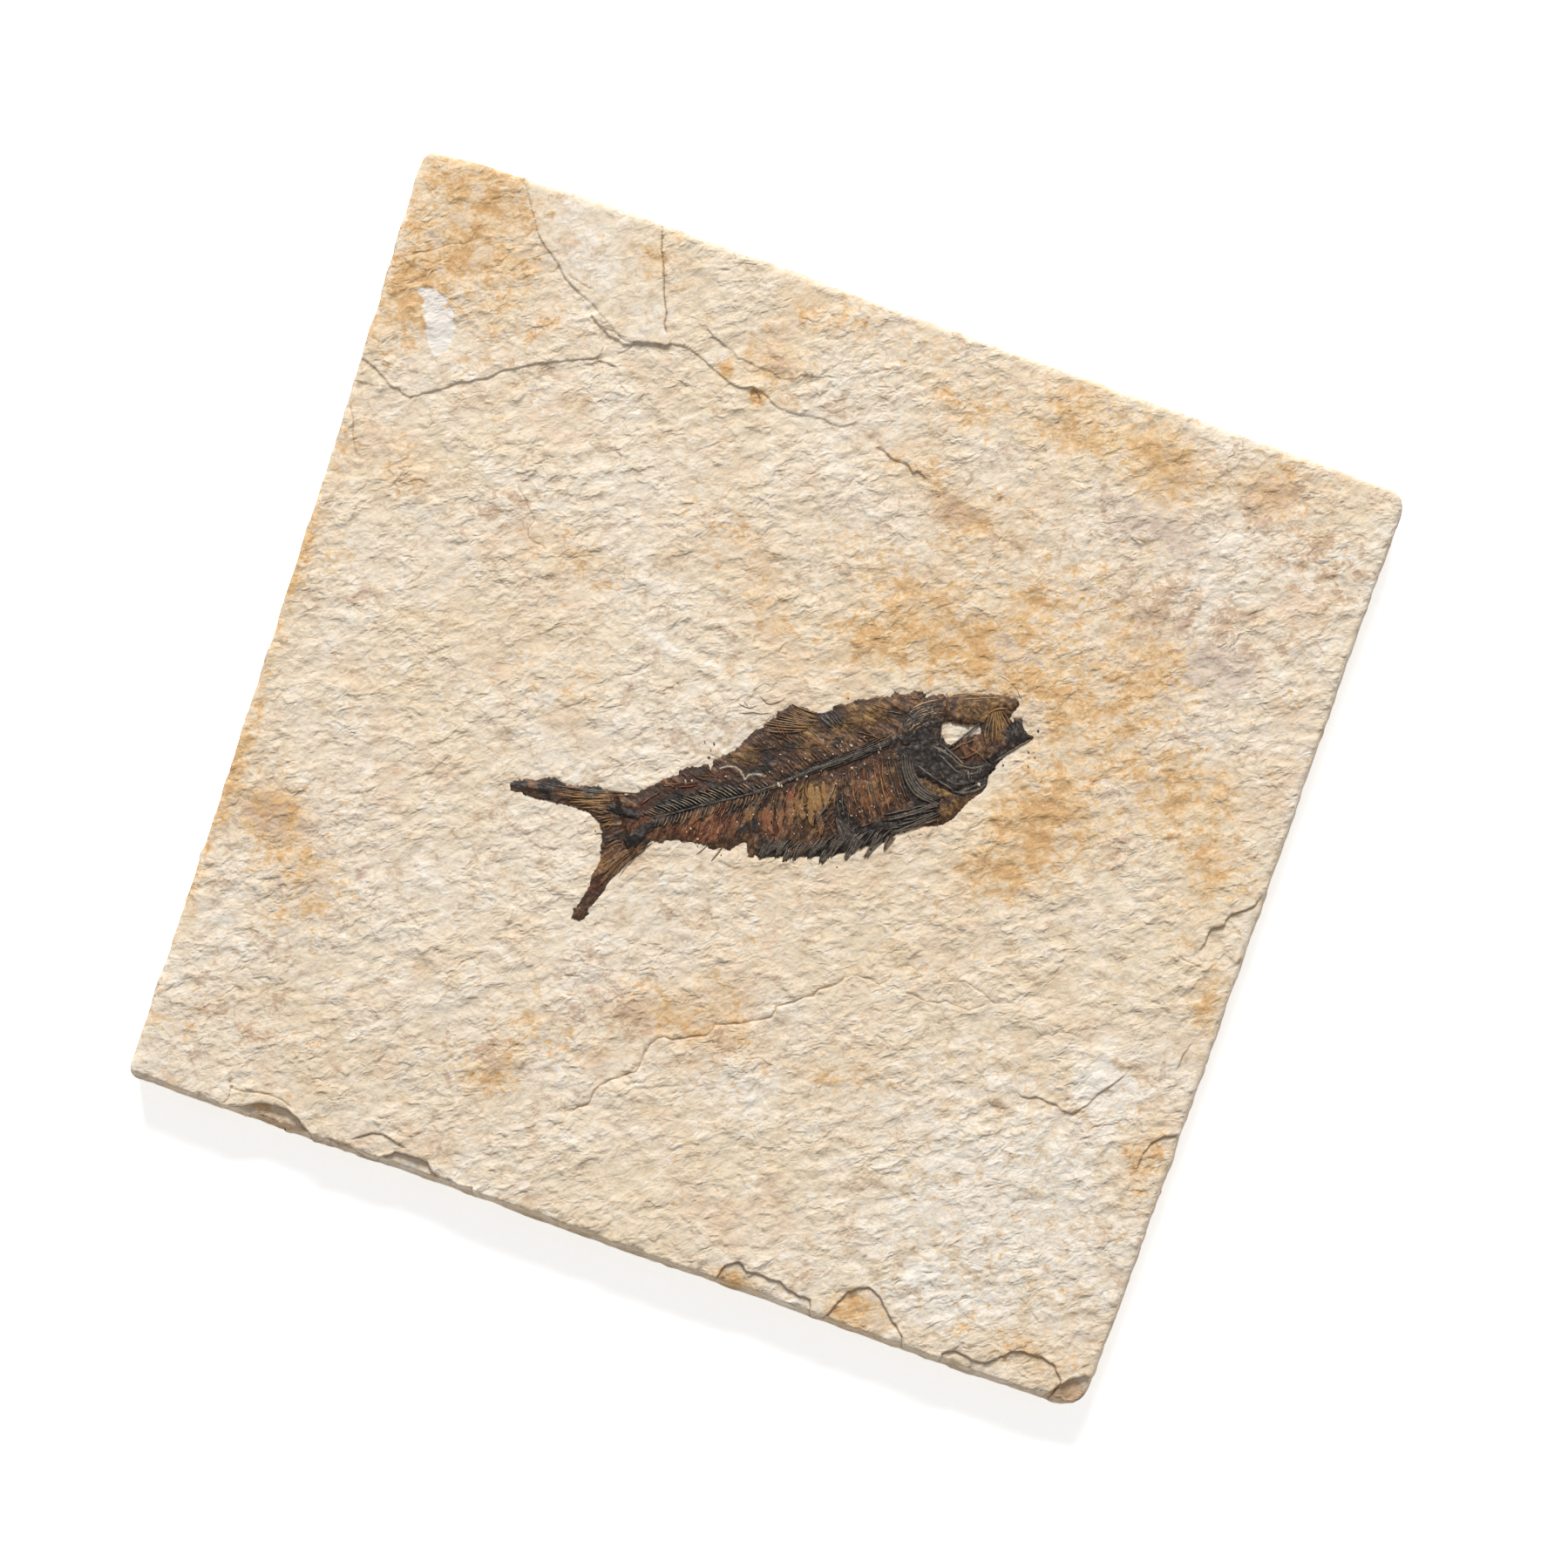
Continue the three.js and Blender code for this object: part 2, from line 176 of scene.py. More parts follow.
# Open steps: the left of the line stands higher by the rise, which dies away over the reach.
LIPS = (
    (((-39.5, 50.3), (-41, 50.5), (-42.5, 50.3)), -0.25, 2),
    (((-1, 51.8), (1, 51.7), (2, 51.2), (3, 50.9), (5, 51), (5.7, 50.5), (6.1, 50), (6.5, 50.5),
      (7, 50.5), (8, 50), (9, 49.5)), 0.28, 3),
    (((-39.5, -68.5), (-38, -67.5), (-36.5, -66.5), (-35, -66), (-33.5, -66.3), (-32, -66.7),
      (-30.5, -67)), 0.3, 2.5),
    (((49, -28.5), (50, -29.8), (51, -30.3), (52, -30.2), (53, -29.7), (55, -29.8), (56, -29.7),
      (57, -30.2), (58.8, -30.3), (59.3, -29.5), (60.2, -28.5), (61, -26.8), (62, -25.2),
      (63.5, -23.3), (64.5, -21.5), (65.5, -20.8)), 0.26, 4),
    (((45.2, -30.5), (46.2, -31.8), (47, -32.8), (48.5, -33), (49.5, -32.5), (50.3, -31.8)), 0.16, 2),
    (((68, -2.5), (68.7, -0.5), (68.7, 1), (69, 2), (69.7, 2.3), (70.5, 2.8), (70.5, 3.6),
      (71, 4.8), (72.5, 5.8), (73.7, 7.2), (74.3, 8.8), (75, 9.7)), 0.5, 6),
    (((70.1, -35.5), (70.3, -32.5), (71, -30.5), (72.3, -29), (73.8, -28.3), (74.8, -27.5)), 0.4, 4),
    (((70.9, -19.5), (71, -17), (71.7, -14.5)), 0.25, 2.5),
    (((-75, 36), (-73, 36.1), (-70, 36.8)), 0.18, 2),
)

# Hairline cracks: (line, width, depth).
LONG_CRACK = (
    (-10.5, -54.5), (-9.5, -53), (-8.2, -52.3), (-7.9, -50), (-7.5, -49), (-6.5, -47.8), (-5, -46.8),
    (-4, -46), (-3.2, -45.5), (-3, -44), (-2.9, -42.3), (-2.5, -40.8), (-1.8, -39.8), (-0.9, -39.2),
    (0.3, -39.3), (1.5, -38.7), (3, -37.8), (4.7, -37.1), (5.2, -36), (5.4, -35.2), (6.5, -34.7), (8, -34),
    (9, -33.8), (10, -33), (11.5, -32.2), (12.7, -31.5), (13, -30.3), (13, -29.7), (14, -29), (15.5, -28),
    (16.2, -27.2), (17.5, -26.5), (18, -25.3), (19.5, -24.3), (20.5, -23.3), (21.3, -22.2),
)
CRACKS = (
    (LONG_CRACK, 0.16, 0.22),
    (((21.3, -22.2), (22.5, -21.5), (24.5, -21.5), (26, -21.8), (27, -20.5), (27.2, -19)), 0.12, 0.14),
    (((29.5, -22), (31, -21.5), (33, -21.8), (35, -21.5), (36, -20.8), (38, -21), (39.5, -21),
      (41, -20), (42, -19)), 0.12, 0.14),
    (((28, -18), (30, -17.8), (31.5, -18.2)), 0.12, 0.12),
    (((34, -18), (35, -18.4), (36, -17.8), (37.5, -17.2), (39, -17.5), (41, -18), (42.5, -18.8),
      (43.5, -18.8)), 0.12, 0.14),
    (((-74.8, 33), (-73.3, 30.8), (-72.5, 28.5), (-71.5, 26.5), (-70.6, 25.2)), 0.13, 0.18),
    (((-48, 30), (-46.5, 28.5), (-45, 27), (-44, 26), (-43.6, 25.3), (-43.9, 24), (-43.5, 22.8),
      (-42.5, 22.4), (-41.2, 22.3), (-40, 21.5)), 0.12, 0.14),
    (((-39, 49), (-38, 48), (-37, 47.3), (-36, 47)), 0.12, 0.12),
    (((-64.8, 64), (-65.2, 62.5), (-65.5, 60.8), (-66.5, 59.8), (-68, 59.3), (-70.5, 57.5),
      (-73.5, 55.7)), 0.12, 0.12),
    (((-51, 61), (-50, 60.3), (-48, 60), (-46, 59.7)), 0.14, 0.14),
    (((-2, 51), (-2.5, 50), (-2.8, 49.3)), 0.12, 0.14),
    (((73.5, 18.5), (73.3, 16)), 0.12, 0.14),
    (((71.8, 15), (71.3, 12.5)), 0.12, 0.14),
    (((65.5, -3.7), (66.5, -3.9), (68, -3.9), (70, -4.2)), 0.13, 0.15),
    (((-58.5, -70.2), (-57.8, -68.5), (-58, -67), (-57.5, -67), (-56.5, -67), (-54.5, -66.5),
      (-52.5, -66.1), (-51, -66.1), (-49.5, -66.5), (-48, -67)), 0.13, 0.2),
    (((71.5, -65.3), (72.5, -64.3), (73.7, -63.5)), 0.13, 0.15),
    (((62, -59), (64, -60.5), (65, -60.6)), 0.12, 0.14),
    (TONGUE_SIDE, 0.2, 0.26),
)

# Small dark pits: (x, y, radius).
PITS = (
    (-58.5, -66, 0.55), (-57.9, -66.8, 0.4), (36.8, -59.7, 0.35), (58.3, -23.2, 0.3), (57.2, -28.4, 0.3),
    (66.9, -10.8, 0.35), (59.5, -5, 0.3), (28.7, 46.1, 0.32), (46.5, 40.8, 0.35), (33.2, 60.1, 0.3),
    (54.8, 58.5, 0.3),
)

# Stains: (x, y, half width, half height, strength).
OCHRE = (
    (-68, 61, 9, 12, 0.55), (-71, 48, 6, 8, 0.5), (-60, 58, 7, 8, 0.35), (-67, 70, 9, 4, 0.4),
    (-74, 10, 2.5, 40, 0.4), (-73, -30, 2, 30, 0.35), (42, 9, 8, 8, 0.6), (50, 34, 8, 8, 0.55),
    (57, 19, 9, 9, 0.6), (38, -1, 7, 7, 0.5), (28, 38, 9, 8, 0.35), (38, 43, 8, 6, 0.35),
    (20, 28, 10, 6, 0.6), (8, 25, 9, 4.5, 0.5), (31, 27, 7, 6, 0.4), (67, 8, 6, 7, 0.4),
    (41, 22, 11, 13, 0.4), (-65, -27, 8, 7, 0.6), (-57, -36, 8, 8, 0.65), (-62, 25, 6, 5, 0.3),
    (-39, 67, 7, 4, 0.45), (-11, 67, 10, 5, 0.35), (8, 65, 10, 6, 0.4), (28, 65, 9, 6, 0.45),
    (40, 64, 7, 6, 0.5), (55, 65, 8, 6, 0.4), (9, 50, 7, 4, 0.4), (17, 46, 6, 4, 0.4),
    (-17, 58, 6, 4, 0.35), (-36, 23, 9, 5, 0.3), (-30, 7, 8, 5, 0.3), (-18, 34, 8, 5, 0.35),
    (-69, 10, 5, 8, 0.3), (-17, -43, 8, 6, 0.5), (-6, -35, 7, 5, 0.4), (-23, -53, 7, 5, 0.5),
    (6, -35, 8, 5, 0.35), (24, -37, 7, 4, 0.4), (-69, -62, 8, 7, 0.3), (20, -69.5, 4, 1.8, 1),
    (38, -67.5, 5, 3.5, 0.7), (62, -65, 9, 3, 0.4), (72, -8, 3, 7, 0.5), (71, -34, 4, 9, 0.5),
    (-18.9, 53, 1.1, 1, 1.2), (-24.5, 55.2, 1.2, 1, 1.1), (-55, 50, 8, 4, 0.2), (-50, 53, 5, 3, 0.15),
    (3, 38, 10, 6, 0.3), (-8, 24, 8, 6, 0.25), (12, 34, 7, 5, 0.3), (18, 60, 10, 5, 0.25),
)
BROWN = (
    (57, 64, 6, 5, 0.55), (42, 63, 6, 5, 0.45), (46, 44, 6, 8, 0.4), (58, 43, 6, 4, 0.4),
    (66, 56, 8, 6, 0.35), (13.2, 46.8, 6, 3, 0.5), (23.3, 44.9, 4, 2, 0.4), (-17.5, 58.5, 5, 3, 0.4),
    (-66, -27, 5, 4, 0.55), (-60, -57, 8, 5, 0.35), (8, -36.5, 6, 3, 0.4), (-6, -38, 7, 4, 0.45),
    (-46, 24, 5, 4, 0.35), (-62, 25, 4, 3, 0.35), (72.5, -68.5, 3, 3, 0.8), (-51, -70, 4, 1.6, 0.7),
    (-52, 45.5, 6, 1.2, 0.4), (-22, -50, 5, 4, 0.35), (52, 8, 5, 5, 0.35), (33, 52, 7, 4, 0.3),
)
PALE = (
    (55, -45, 25, 18, 0.5), (63, -25, 5, 4, 0.8), (50, -62, 10, 5, 0.5), (-67, -45, 5, 15, 0.3),
    (12, -42, 8, 5, 0.4), (-66, 66, 4, 4, 0.6), (24, 60, 3, 4, 0.4), (-47, 64, 9, 7, 0.4),
    (-28, 22, 14, 8, 0.3), (-10, 5, 8, 5, 0.3),
)
LILAC = ((42, 54, 8, 5, 0.8), (58, 38, 6, 4, 0.8), (-30, 52, 5, 2, 0.4))


# ---------------- geometry helpers
def points_of(line):
    """A line's points as an array in the slab's millimetres."""
    return np.array(line, float) + np.array(SURVEY_ORIGIN)


def smooth(share):
    """A soft step from 0 to 1."""
    share = np.clip(share, 0.0, 1.0)
    return share * share * (3.0 - 2.0 * share)


def along_table(table, place):
    """The value of a given table of (place, value) at each place."""
    return np.interp(place, [row[0] for row in table], [row[1] for row in table])


def nearest(points, line, closed=False):
    """For each point: distance to a line, side (left is positive), run along it; then its length."""
    line = np.asarray(line, float)
    if closed:
        line = np.vstack((line, line[:1]))
    distance = np.full(len(points), np.inf)
    side = np.zeros(len(points))
    along = np.zeros(len(points))
    run = 0.0
    for start, end in zip(line[:-1], line[1:]):
        step = end - start
        length = max(np.hypot(*step), 1e-9)
        offset = points - start
        share = np.clip((offset @ step) / length**2, 0.0, 1.0)
        gap = np.hypot(*(offset - share[:, None] * step).T)
        closer = gap < distance
        distance[closer] = gap[closer]
        cross = step[0] * offset[:, 1] - step[1] * offset[:, 0]
        side[closer] = np.sign(cross[closer])
        along[closer] = run + share[closer] * length
        run += length
    return distance, side, along, run


def inside(points, outline):
    """True for the points inside a closed outline."""
    outline = np.asarray(outline, float)
    held = np.zeros(len(points), bool)
    x, y = points.T
    for (x0, y0), (x1, y1) in zip(outline, np.roll(outline, -1, axis=0)):
        if y0 == y1:
            continue
        crosses = (y0 > y) != (y1 > y)
        held ^= crosses & (x < (x1 - x0) * (y - y0) / (y1 - y0) + x0)
    return held


def signed_depth(points, outline):
    """How far each point is inside a closed outline; negative outside it."""
    distance = nearest(points, outline, closed=True)[0]
    return np.where(inside(points, outline), distance, -distance)


def near_box(points, outline, margin):
    """Indices of the points within a margin of an outline's box."""
    low = outline.min(axis=0) - margin
    high = outline.max(axis=0) + margin
    return np.nonzero(np.all((points > low) & (points < high), axis=1))[0]


def perlin(u, v, size, seed):
    """Soft noise of about -1 to 1 whose bumps are about one size across."""
    return np.array([noise.noise((a, b, seed)) for a, b in zip(u / size, v / size)])


def drift(places, size, seed_x, seed_y):
    """Noise for both coordinates, to shift places about."""
    return np.stack((perlin(*places.T, size, seed_x), perlin(*places.T, size, seed_y)), axis=1)


def creases(u, v, size, seed):
    """Lumps of 0 to 1 with sharp valleys between them."""
    return np.abs(perlin(u, v, size, seed)) * 1.6


def turned(points, degrees, stretch):
    """Coordinates along and across a direction, the first shortened by the stretch."""
    angle = math.radians(degrees)
    u = points[:, 0] * math.cos(angle) + points[:, 1] * math.sin(angle)
    v = points[:, 1] * math.cos(angle) - points[:, 0] * math.sin(angle)
    return u / stretch, v


def as_mesh(bm, name):
    """Turns a finished bmesh into a mesh."""
    mesh = bpy.data.meshes.new(name)
    bm.to_mesh(mesh)
    bm.free()
    return mesh


def copies(template, count, name):
    """One mesh that holds that many copies of a template, in place of the template."""
    bm = bmesh.new()
    for _ in range(count):
        bm.from_mesh(template)
    bpy.data.meshes.remove(template)
    return as_mesh(bm, name)


def thicken(bm):
    """Gives a flat grid a body of height 1."""
    raised = bmesh.ops.extrude_face_region(bm, geom=bm.faces[:])["geom"]
    top = [item for item in raised if isinstance(item, bmesh.types.BMVert)]
    bmesh.ops.translate(bm, verts=top, vec=(0, 0, 1))


def add_object(name, data):
    """Puts a mesh, light or camera in the scene."""
    item = bpy.data.objects.new(name, data)
    bpy.context.scene.collection.objects.link(item)
    return item


def coordinates(mesh):
    """A mesh's vertex places as an array."""
    places = np.empty(len(mesh.vertices) * 3)
    mesh.vertices.foreach_get("co", places)
    return places.reshape(-1, 3)


def place_vertices(mesh, places):
    """Moves a mesh's vertices to an array of places."""
    mesh.vertices.foreach_set("co", np.asarray(places, float).ravel())
    mesh.update()


def paint(mesh, **values):
    """Stores one number per vertex under each name, for the materials to read."""
    for name, numbers in values.items():
        layer = mesh.attributes.new(name, "FLOAT", "POINT")
        layer.data.foreach_set("value", np.asarray(numbers, np.float32))


def finish_piece(name, mesh, material, replaced=None):
    """Puts a finished mesh, in metres, on the object's one body."""
    mesh.name = name
    piece = add_object(name, mesh)
    mesh.materials.append(material)
    mesh.polygons.foreach_set("use_smooth", [True] * len(mesh.polygons))
    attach(piece, "root")
    if replaced:
        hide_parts(replaced)
    return piece


# ---------------- the stone's shape
EDGE_WAVE = 0.14
LEDGE_TEAR = 0.16
LEDGE_WANDER = 0.24
CRACK_TEAR = 0.08
CRACK_WANDER = 0.16
TONGUE_LEVEL = 0.49
TONGUE_CALM = 0.5
FISH_TURN = math.radians(37.2)
FISH_PLACE = (3.4, 2.0)
FISH_REACH = 46
FISH_SEAT = 0.16
CALM_REACH = 2.5
CALM_GRAIN = 0.35
RIM_WEAR = 0.35
FRONT_WEAR = 1.3
RIGHT_WEAR = 0.7
FOOT_LEAN = 0.35


def slab_outline(u, v):
    """The top edge's place for grid shares u and v of -1 to 1, in millimetres."""
    x = u * HALF_X
    y = v * HALF_Y
    left = -HALF_X + along_table(LEFT_INSET, y)
    right = HALF_X - along_table(RIGHT_INSET, y)
    front = -HALF_Y + along_table(FRONT_INSET, x)
    back = HALF_Y - along_table(BACK_INSET, x)
    wave = 2.0 * perlin(x, y, 5.0, 3.0) + perlin(x, y, 1.4, 5.0)
    wave = EDGE_WAVE * np.clip(wave, -1.2, 1.2) + EDGE_WAVE
    mapped_x = left + (right - left) * (u + 1) / 2 - wave * u * np.abs(u) ** 12
    mapped_y = front + (back - front) * (v + 1) / 2 - wave * v * np.abs(v) ** 12
    places = np.stack((mapped_x, mapped_y), axis=1)
    for (side_x, side_y), radius in CORNER_RADIUS.items():
        corner = np.array([
            right[np.argmax(v * side_y)] if side_x > 0 else left[np.argmax(v * side_y)],
            back[np.argmax(u * side_x)] if side_y > 0 else front[np.argmax(u * side_x)],
        ])
        centre = corner - radius * np.array([side_x, side_y])
        offset = (places - centre) * np.array([side_x, side_y])
        round_off = np.all(offset > 0, axis=1)
        reach = np.hypot(*offset[round_off].T)
        square = offset[round_off].max(axis=1)
        offset[round_off] *= (square / np.maximum(reach, 1e-9))[:, None]
        places[round_off] = centre + offset[round_off] * np.array([side_x, side_y])
    return places


def rim_distance(places):
    """How far each place is in from the nearest side, and the distances to the four sides."""
    x, y = places.T
    to_left = x + HALF_X - along_table(LEFT_INSET, y)
    to_right = HALF_X - along_table(RIGHT_INSET, y) - x
    to_front = y + HALF_Y - along_table(FRONT_INSET, x)
    to_back = HALF_Y - along_table(BACK_INSET, x) - y
    return np.maximum(0, np.stack((to_left, to_right, to_front, to_back)) - EDGE_WAVE)


def to_fish(places):
    """Slab millimetres as fish millimetres, with the head towards +x."""
    offset = places - np.array(FISH_PLACE)
    c, s = math.cos(FISH_TURN), math.sin(FISH_TURN)
    return np.stack((offset[:, 0] * c + offset[:, 1] * s, offset[:, 1] * c - offset[:, 0] * s), axis=1)


def stone_grain(places):
    """The split surface's own relief, in millimetres."""
    u, v = turned(places, 35.0, 1.4)
    x, y = places.T
    grain = 0.18 * perlin(x, y, 24.0, 11.0) + 0.16 * perlin(x, y, 8.0, 12.0)
    u = u + 0.8 * perlin(x, y, 2.8, 21.0)
    v = v + 0.8 * perlin(x, y, 2.8, 22.0)
    grain += 0.17 * (creases(u, v, 3.4, 13.0) - 0.4)
    grain -= 0.16 * (creases(u, v, 2.1, 14.0) - 0.4)
    grain += 0.14 * perlin(u, v, 1.4, 15.0)
    return grain


def near_fish_share(depth):
    """How much of the stone's relief is left at a depth inside the fish's outline, negative outside it."""
    return CALM_GRAIN + (1 - CALM_GRAIN) * smooth(-depth / CALM_REACH)


def layered_rise(places, warped):
    """How far the flakes left on the bedding plane stand up, and the painted shade at their foot."""
    rise = np.zeros(len(places))
    foot = np.zeros(len(places))

    def add_layer(outline, height, wall, fade, stacked):
        """Lays one flake on the rest, stacked on them or as the highest of them."""
        outline = points_of(outline)
        near = near_box(warped, outline, 2.0)
        depth = signed_depth(warped[near], outline)
        share = smooth(depth / wall + 0.5) * fade[near]
        own = height * share
        step = height if stacked else np.maximum(0.0, height - rise[near])
        rise[near] = rise[near] + own if stacked else np.maximum(rise[near], own)
        # painted shade: a dark band just outside each flake's edge, at the foot of its step
        shade = np.exp(-((depth + 0.08) / 0.13) ** 2) * fade[near] * np.minimum(1.0, step / 0.3)
        foot[near] = np.maximum(foot[near] * (1 - share), 0.42 * shade)

    even = np.ones(len(places))
    fade = along_table(BACK_FADE, places[:, 0])
    for outline, height, wall in BACK_LAYERS:
        add_layer(outline, height, wall, fade, stacked=True)
    for outline, height, wall in RAISED:
        add_layer(outline, height, wall, even, stacked=False)
    return rise, foot


def broken_drop(warped):
    """How far the scoops, spalls and chips are sunk, and a painted shade line just inside their edge."""
    drop = np.zeros(len(warped))
    line = np.zeros(len(warped))
    for outline, depth, wall in SUNKEN:
        outline = points_of(outline)
        near = near_box(warped, outline, 1.5)
        share = signed_depth(warped[near], outline)
        drop[near] += depth * smooth(share / wall + 0.5)
        # painted shade: a dark line just inside the sunken edge
        line[near] = np.maximum(line[near], np.exp(-((share - 0.1) / 0.14) ** 2) * min(1.0, depth / 0.4))
    return drop, line


def lips_and_cracks(warped):
    """The height of the open steps and hairline cracks, how dark the cracks and pits are, and the painted
    shade along each step's low side.
    """
    change = np.zeros(len(warped))
    dark = np.zeros(len(warped))
    for line, rise, reach in LIPS:
        line = points_of(line)
        near = near_box(warped, line, reach * 2)
        gap, side, along, length = nearest(warped[near], line)
        ends = smooth(np.minimum(along, length - along) / (0.15 * length))
        dies = np.exp(-(gap / reach) ** 2) * ends
        change[near] += rise * dies * 0.5 * np.tanh(side * gap / 0.07)
        # painted shade along the low side of each step
        low = np.where(np.sign(rise) * side < 0, gap, 9.0)
        dark[near] = np.maximum(dark[near], np.exp(-(low / 0.2) ** 2) * ends * min(1, abs(rise) / 0.3))
    for line, width, depth in CRACKS:
        line = points_of(line)
        near = near_box(warped, line, 1.5)
        gap, _, along, length = nearest(warped[near], line)
        ends = smooth(np.minimum(along, length - along) / 1.2)
        cut = np.exp(-((gap / width) ** 2)) * ends
        change[near] -= depth * cut
        dark[near] = np.maximum(dark[near], 0.75 * cut)
    for x, y, radius in PITS:
        gap = np.hypot(*(warped - points_of((x, y))).T)
        change -= 0.35 * radius * np.exp(-((gap / radius) ** 2))
        dark = np.maximum(dark, 1.6 * np.exp(-((gap / (0.7 * radius)) ** 2)))
    return change, dark


def stain(places, patches):
    """How strongly a group of stains colours each place."""
    total = np.zeros(len(places))
    for x, y, half_x, half_y, strength in patches:
        offset = (places - points_of((x, y))) / np.array([half_x, half_y])
        total += strength * np.exp(-1.1 * (offset**2).sum(axis=1))
    return np.minimum(2.0 * total, 1.4)


def slab_grid(cell, lines):
    """A closed slab of height 1 with a fine top, finer still along the lines and the front rim."""
    coarse = 4
    bm = bmesh.new()
    count_x = round(2 * HALF_X / (cell * coarse))
    count_y = round(2 * HALF_Y / (cell * coarse))
    bmesh.ops.create_grid(bm, x_segments=count_x, y_segments=count_y, size=1.0)
    thicken(bm)
    for height in (0.35, 0.7):
        everything = bm.verts[:] + bm.edges[:] + bm.faces[:]
        bmesh.ops.bisect_plane(bm, geom=everything, plane_co=(0, 0, height), plane_no=(0, 0, 1))

    def on_rim(vert):
        """True at the sides of the grid."""
        return max(abs(vert.co.x), abs(vert.co.y)) > 0.9999

    fine = [
        edge for edge in bm.edges
        if not all(vert.co.z < 0.01 for vert in edge.verts) or all(on_rim(vert) for vert in edge.verts)
    ]
    bmesh.ops.subdivide_edges(bm, edges=fine, cuts=coarse - 1, use_grid_fill=True)

    shares = np.array([vert.co[:] for vert in bm.verts])
    mapped = slab_outline(shares[:, 0], shares[:, 1])
    for vert, (x, y) in zip(bm.verts, mapped):
        vert.co.x, vert.co.y = x, y

    for reach in (0.75, 0.36):
        edges = [edge for edge in bm.edges if all(vert.co.z > 0.99 for vert in edge.verts)]
        middles = np.array([(edge.verts[0].co + edge.verts[1].co)[:2] for edge in edges]) / 2
        close = rim_distance(middles)[2] < (1.2 if reach > 0.5 else 0.0)
        for line in lines:
            near = near_box(middles, line, reach)
            if len(near):
                close[near] |= nearest(middles[near], line)[0] < reach
        chosen = [edge for edge, wanted in zip(edges, close) if wanted]
        bmesh.ops.subdivide_edges(bm, edges=chosen, cuts=1, use_grid_fill=True)
    bmesh.ops.recalc_face_normals(bm, faces=bm.faces)
    return as_mesh(bm, "limestone")


def under_fish(plan):
    """How deep each place is inside the fish's outline, and how fully the fish covers it."""
    depth = np.full(len(plan), -9.0)
    eye = np.zeros(len(plan))
    near = np.nonzero(np.hypot(*(plan - np.array(FISH_PLACE)).T) < FISH_REACH)[0]
    places = to_fish(plan[near])
    depth[near] = signed_depth(places, FISH_OUTLINE)
    eye[near] = smooth(0.5 + signed_depth(places, EYE_GAP) / 0.3)
    return depth, smooth(depth / 0.25 + 0.5) * (1 - eye)


def worn_rim(x, y, side, front, right):
    """How much the top is worn down near its sides, most of all along the front."""
    width = 0.8 + 0.45 * perlin(x, y, 4.5, 41.0) + 0.25 * perlin(x, y, 1.3, 42.0)
    front_width = 0.95 + 0.3 * perlin(x, y, 3.5, 43.0) + 0.15 * perlin(x, y, 1.0, 44.0)
    right_width = 0.4 + 0.25 * perlin(x, y, 3.0, 45.0)
    worn = RIM_WEAR * np.clip(1 - side / np.maximum(width, 0.15), 0, 1) ** 1.5
    worn += FRONT_WEAR * np.clip(1 - front / np.maximum(front_width, 0.3), 0, 1) ** 0.8
    return worn + RIGHT_WEAR * np.clip(1 - right / np.maximum(right_width, 0.12), 0, 1)


def wall_bulge(x, y, z, share):
    """How far the walls stand out from the top edge, bed by bed, leaning in towards the foot."""
    out = np.stack((np.sign(x) * np.abs(x / HALF_X) ** 60, np.sign(y) * np.abs(y / HALF_Y) ** 60), axis=1)
    out /= np.maximum(np.hypot(*out.T), 1e-9)[:, None]
    along = x * np.abs(out[:, 1]) + y * np.abs(out[:, 0])
    beds = 0.16 * perlin(along * 0.12, z + 0.4 * perlin(along, z, 9.0, 61.0), 0.8, 62.0)
    rough = beds + 0.3 * perlin(along, 1.6 * z, 1.8, 63.0) + 0.34 * perlin(along, z, 5.0, 64.0)
    bulge = np.where(share < 0.999, rough * np.sin(np.pi * np.clip(share, 0, 1)) ** 0.5, 0.0)
    return out * (bulge - FOOT_LEAN * (1 - share) ** 3)[:, None]


